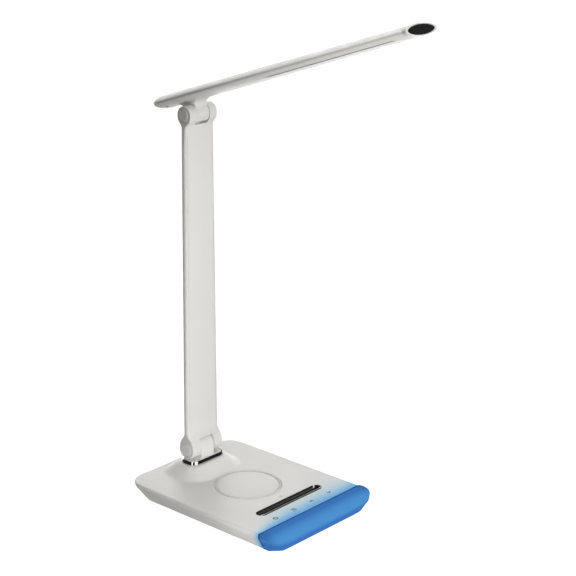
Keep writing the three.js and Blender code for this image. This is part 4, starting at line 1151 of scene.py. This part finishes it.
def make_end_cap():
    tE = T_END
    rings = [lens(END_Y - GAP - 0.4, HEAD_HALF - 3.3, tE - 1.3)]
    for k in range(0, 5):
        a = k / 4 * math.pi / 2
        rings.append(lens(HEAD_FRONT + 0.7 - 0.3 * math.sin(a), HEAD_HALF - 3.15 - 0.3 * (1 - math.cos(a)), tE - 1.15 - 0.25 * (1 - math.cos(a)), SLANT))
    return loft(rings)


piece("head_end_ring_rim", make_end_ring(), M_HEAD, "head", WHITE, ["head_end_ring"], sharp=50)
piece("head_end_cap_gloss", make_end_cap(), M_HEAD, "head", BLACK, ["head_end_cap"], sharp=50)

# ------------------------------------------------------------------ screws, feet, socket


def screw(r, head_h, shank, length, recess=0.7, n=40):
    """Pan-head screw with a cross recess. Its face looks along +z, at z = 0."""
    k, b = r * 0.62, r * 0.17
    cross = arr([(b, b), (b, k), (-b, k), (-b, b), (-k, b), (-k, -b), (-b, -b), (-b, -k), (b, -k), (b, -b), (k, -b), (k, b)])
    rim = circle(r * 0.88, n)
    parts = [fill([rim, cross], 0.0), loft([at(cross, 0.0), at(cross * 0.8, -recess)], False, True)]
    parts.append(loft([at(rim, 0.0), at(circle(r * 0.96, n), -0.06), at(circle(r, n), -0.2), at(circle(r, n), -head_h),
                       at(circle(shank, n), -head_h), at(circle(shank, n), -length + shank), at(circle(shank * 0.3, n), -length)], False, True))
    return merge(*parts)


flip = Matrix.Rotation(math.pi, 4, "X")
for where, x, y in (("front_left", -50, 32), ("front_right", 50, 32), ("rear_left", -50, 126), ("rear_right", 50, 126)):
    vf = turned(screw(3.0, 0.7, 1.35, 10.4, 0.5), Matrix.Translation((x, y, 1.1)) @ flip)
    piece(f"base_screw_{where}_cross", vf, M_BASE, "base", STEEL, [f"base_screw_{where}"], sharp=35)
for where, x in (("left", -12.6), ("right", 12.6)):
    vf = turned(screw(1.6, 0.8, 0.8, 2.8, 0.4, 28), Matrix.Translation((x, HEAD_REAR - 8.9, HEAD_LIFT - 3.4)) @ flip)
    piece(f"head_screw_{where}_cross", vf, M_HEAD, "head", DARK_STEEL, [f"head_screw_{where}"], sharp=35)
for where, x in (("left", -15), ("right", 15)):
    vf = turned(screw(3.2, 2.0, 1.3, 6.8, 0.8), Matrix.Translation((x, 135.4, 23.0)) @ flip)
    piece(f"foot_screw_{where}_cross", vf, M_BASE, "base", STEEL, [f"foot_screw_{where}"], sharp=35)
for where, x, y in (("front_left", -46, 12), ("front_right", 46, 12), ("rear_left", -46, 142), ("rear_right", 46, 142)):
    prof = [(0.02, 0.12), (3.3, 0.12), (3.45, 0.04), (3.6, 0.0), (5.3, 0.0), (5.5, 0.06), (5.62, 0.22), (6.0, 1.55), (5.95, 1.7), (0.02, 1.7)]
    piece(f"rubber_foot_{where}_pad", turned(lathe(prof, 56), Matrix.Translation((x, y, 0))), M_BASE, "base", RUBBER, [f"rubber_foot_{where}"], sharp=45)


def make_socket():
    """Barrel socket: rounded block with a round bore and a centre pin. Its face looks along +y."""
    out = round_plan(-4.8, 4.8, -3.45, 3.7, 0.9, 5)          # x and height about the bore's axis
    soft = round_plan(-4.6, 4.6, -3.25, 3.5, 0.8, 5)
    parts = [fill([soft, circle(3.2, 48)], 0.0), loft([at(soft, 0.0), at(out, -0.2), at(out, -11.0)], False, True)]
    parts.append(loft([at(circle(3.2, 48), 0.0), at(circle(3.0, 48), -0.2), at(circle(3.0, 48), -8.0)], False, False))
    pin0 = circle(0.9, 48)
    parts.append(fill([circle(3.0, 48), pin0], -8.0))
    parts.append(loft([at(pin0, -8.0), at(pin0, -1.2), at(circle(0.8, 48), -0.85), at(circle(0.45, 48), -0.62)], False, True))
    m = Matrix(((-1, 0, 0, 0), (0, 0, 1, 156.0), (0, 1, 0, 9.4), (0, 0, 0, 1)))
    return turned(merge(*parts), m)


piece("power_inlet_socket", make_socket(), M_BASE, "base", BLACK_MATTE, ["power_inlet"], sharp=35)

# ------------------------------------------------------------------ CAD nodes that stay

KEEP = {"base_bottom_cover": None, "arm_ribbon_cable": CABLE, "charging_coil": COPPER, "coil_ferrite": FERRITE, "charger_board": BOARD,
        "control_board": BOARD, "touch_sensor_board": BOARD, "rgb_led_strip": LED_BOARD, "head_led_board": LED_BOARD, "ballast_plate": STEEL}
WHITE_MATTE = white_plastic("white_plastic_matte", rough=0.6)
KEEP["base_bottom_cover"] = WHITE_MATTE
for n in NODES:
    if n.endswith(("_bolt", "_nut")) or "_washer_" in n:
        KEEP[n] = STEEL
for n, mat in KEEP.items():
    o = NODES[n]
    o.data.materials.clear()
    o.data.materials.append(mat)
    m = o.modifiers.new("edge", "BEVEL")
    m.width, m.segments, m.limit_method, m.angle_limit = 0.00018, 2, "ANGLE", math.radians(50)

# ------------------------------------------------------------------ floor and light

def stage_mesh(name, vf, mat):
    me = new_mesh(vf)
    ob = bpy.data.objects.new(name, me)
    bpy.context.scene.collection.objects.link(ob)
    me.materials.append(mat)
    return ob


fm = Mat("pale_floor", (0.30, 0.30, 0.298), 0.9)
fm.vary(3.0, 0.01, 0.03)
fm.p.inputs["Specular IOR Level"].default_value = 0.05
fm.p.inputs["Emission Color"].default_value = (1, 1, 1, 1)
fm.p.inputs["Emission Strength"].default_value = 0.97
floor = stage_mesh("studio_floor", (arr([(-9, -9, -0.00005), (9, -9, -0.00005), (9, 9, -0.00005), (-9, 9, -0.00005)]), [(0, 1, 2, 3)]), fm.m)
floor.visible_diffuse = False
floor.visible_glossy = False
floor.visible_shadow = False

world = bpy.data.worlds.new("studio")
bpy.context.scene.world = world
world.use_nodes = True
wt = world.node_tree
bg = wt.nodes["Background"]
bg.inputs["Color"].default_value = (1, 1, 1, 1)


def wnode(kind, inputs=(), **kw):
    n = wt.nodes.new(kind)
    for k, v in kw.items():
        setattr(n, k, v)
    for i, v in inputs:
        if hasattr(v, "links"):
            wt.links.new(v, n.inputs[i])
        else:
            n.inputs[i].default_value = v
    return n


def wmap(value, a, b, c, d):
    return wnode("ShaderNodeMapRange", [(0, value), (1, a), (2, b), (3, c), (4, d)], interpolation_type="SMOOTHSTEP").outputs[0]


def wdot(vec, direction):
    return wnode("ShaderNodeVectorMath", [(0, vec), (1, tuple(Vector(direction).normalized()))], operation="DOT_PRODUCT").outputs["Value"]


wdir = wt.nodes.new("ShaderNodeTexCoord").outputs["Generated"]
lp = wt.nodes.new("ShaderNodeLightPath")


def lobe(direction, power, strength):
    m = wnode("ShaderNodeMath", [(0, wdot(wdir, direction)), (1, 0.0)], operation="MAXIMUM").outputs[0]
    m = wnode("ShaderNodeMath", [(0, m), (1, power)], operation="POWER").outputs[0]
    return wnode("ShaderNodeMath", [(0, m), (1, strength)], operation="MULTIPLY").outputs[0]


def total(*values):
    out = values[0]
    for v in values[1:]:
        out = wnode("ShaderNodeMath", [(0, out), (1, v)], operation="ADD").outputs[0]
    return out


# soft fill from behind and above, from the right and above, from the pale floor, and from behind on the right
fill_light = total(lobe((0, 0.7, 0.7), 3, 0.667), lobe((0.7, 0, 0.7), 3, 0.45), lobe((0, 0, -1), 4, 0.79), lobe((0.5, 0.8, -0.3), 6, 0.95))
# what shiny surfaces see: a bright pale wall behind on the right, a smaller one behind on the left, a dim room elsewhere
seen = total(wmap(wdot(wdir, (0.75, 0.64, 0.15)), 0.35, 0.85, 0.08, 3.0), wmap(wdot(wdir, (-0.75, 0.5, 0.0)), 0.3, 0.9, 0.0, 1.25))
inner = wnode("ShaderNodeMix", [(0, lp.outputs["Is Glossy Ray"]), (2, fill_light), (3, seen)], data_type="FLOAT").outputs[0]
outer = wnode("ShaderNodeMix", [(0, lp.outputs["Is Camera Ray"]), (2, inner), (3, 1.0)], data_type="FLOAT").outputs[0]
wt.links.new(outer, bg.inputs["Strength"])


def area(name, place, target, size, size_y, energy, spread=180.0):
    d = bpy.data.lights.new(name, "AREA")
    d.shape, d.size, d.size_y = "RECTANGLE", size, size_y
    d.energy, d.spread, d.color = energy, math.radians(spread), (1.0, 0.998, 0.99)
    o = bpy.data.objects.new(name, d)
    bpy.context.scene.collection.objects.link(o)
    o.location = place
    o.rotation_euler = (Vector(target) - Vector(place)).to_track_quat("-Z", "Y").to_euler()
    o.visible_camera = False
    return o


area("front_softbox", (0.0, -1.2, 0.75), (0, 0.1, 0.40), 0.7, 0.7, 1.43, 60)
area("left_softbox", (-1.3, -1.6, 0.5), (0, 0.05, 0.15), 1.0, 1.0, 4.2)
area("floor_bounce", (-0.02, -0.36, 0.03), (0.0, -0.06, 0.45), 0.34, 0.34, 1.15)
area("low_left_strip", (-0.42, -0.20, 0.06), (-0.07, 0.05, 0.01), 0.26, 0.12, 0.125, 70)
area("low_left_spot", (-0.24, -0.07, 0.045), (-0.068, -0.012, 0.012), 0.05, 0.05, 0.0035, 30)
area("right_softbox", (0.9, 0.1, 0.8), (0.03, 0.05, 0.0), 0.6, 0.6, 0.64)
area("top_softbox", (-0.1, -0.45, 1.1), (0, -0.1, 0.4), 0.6, 0.6, 0.5)

bpy.context.scene.view_settings.view_transform = "Standard"
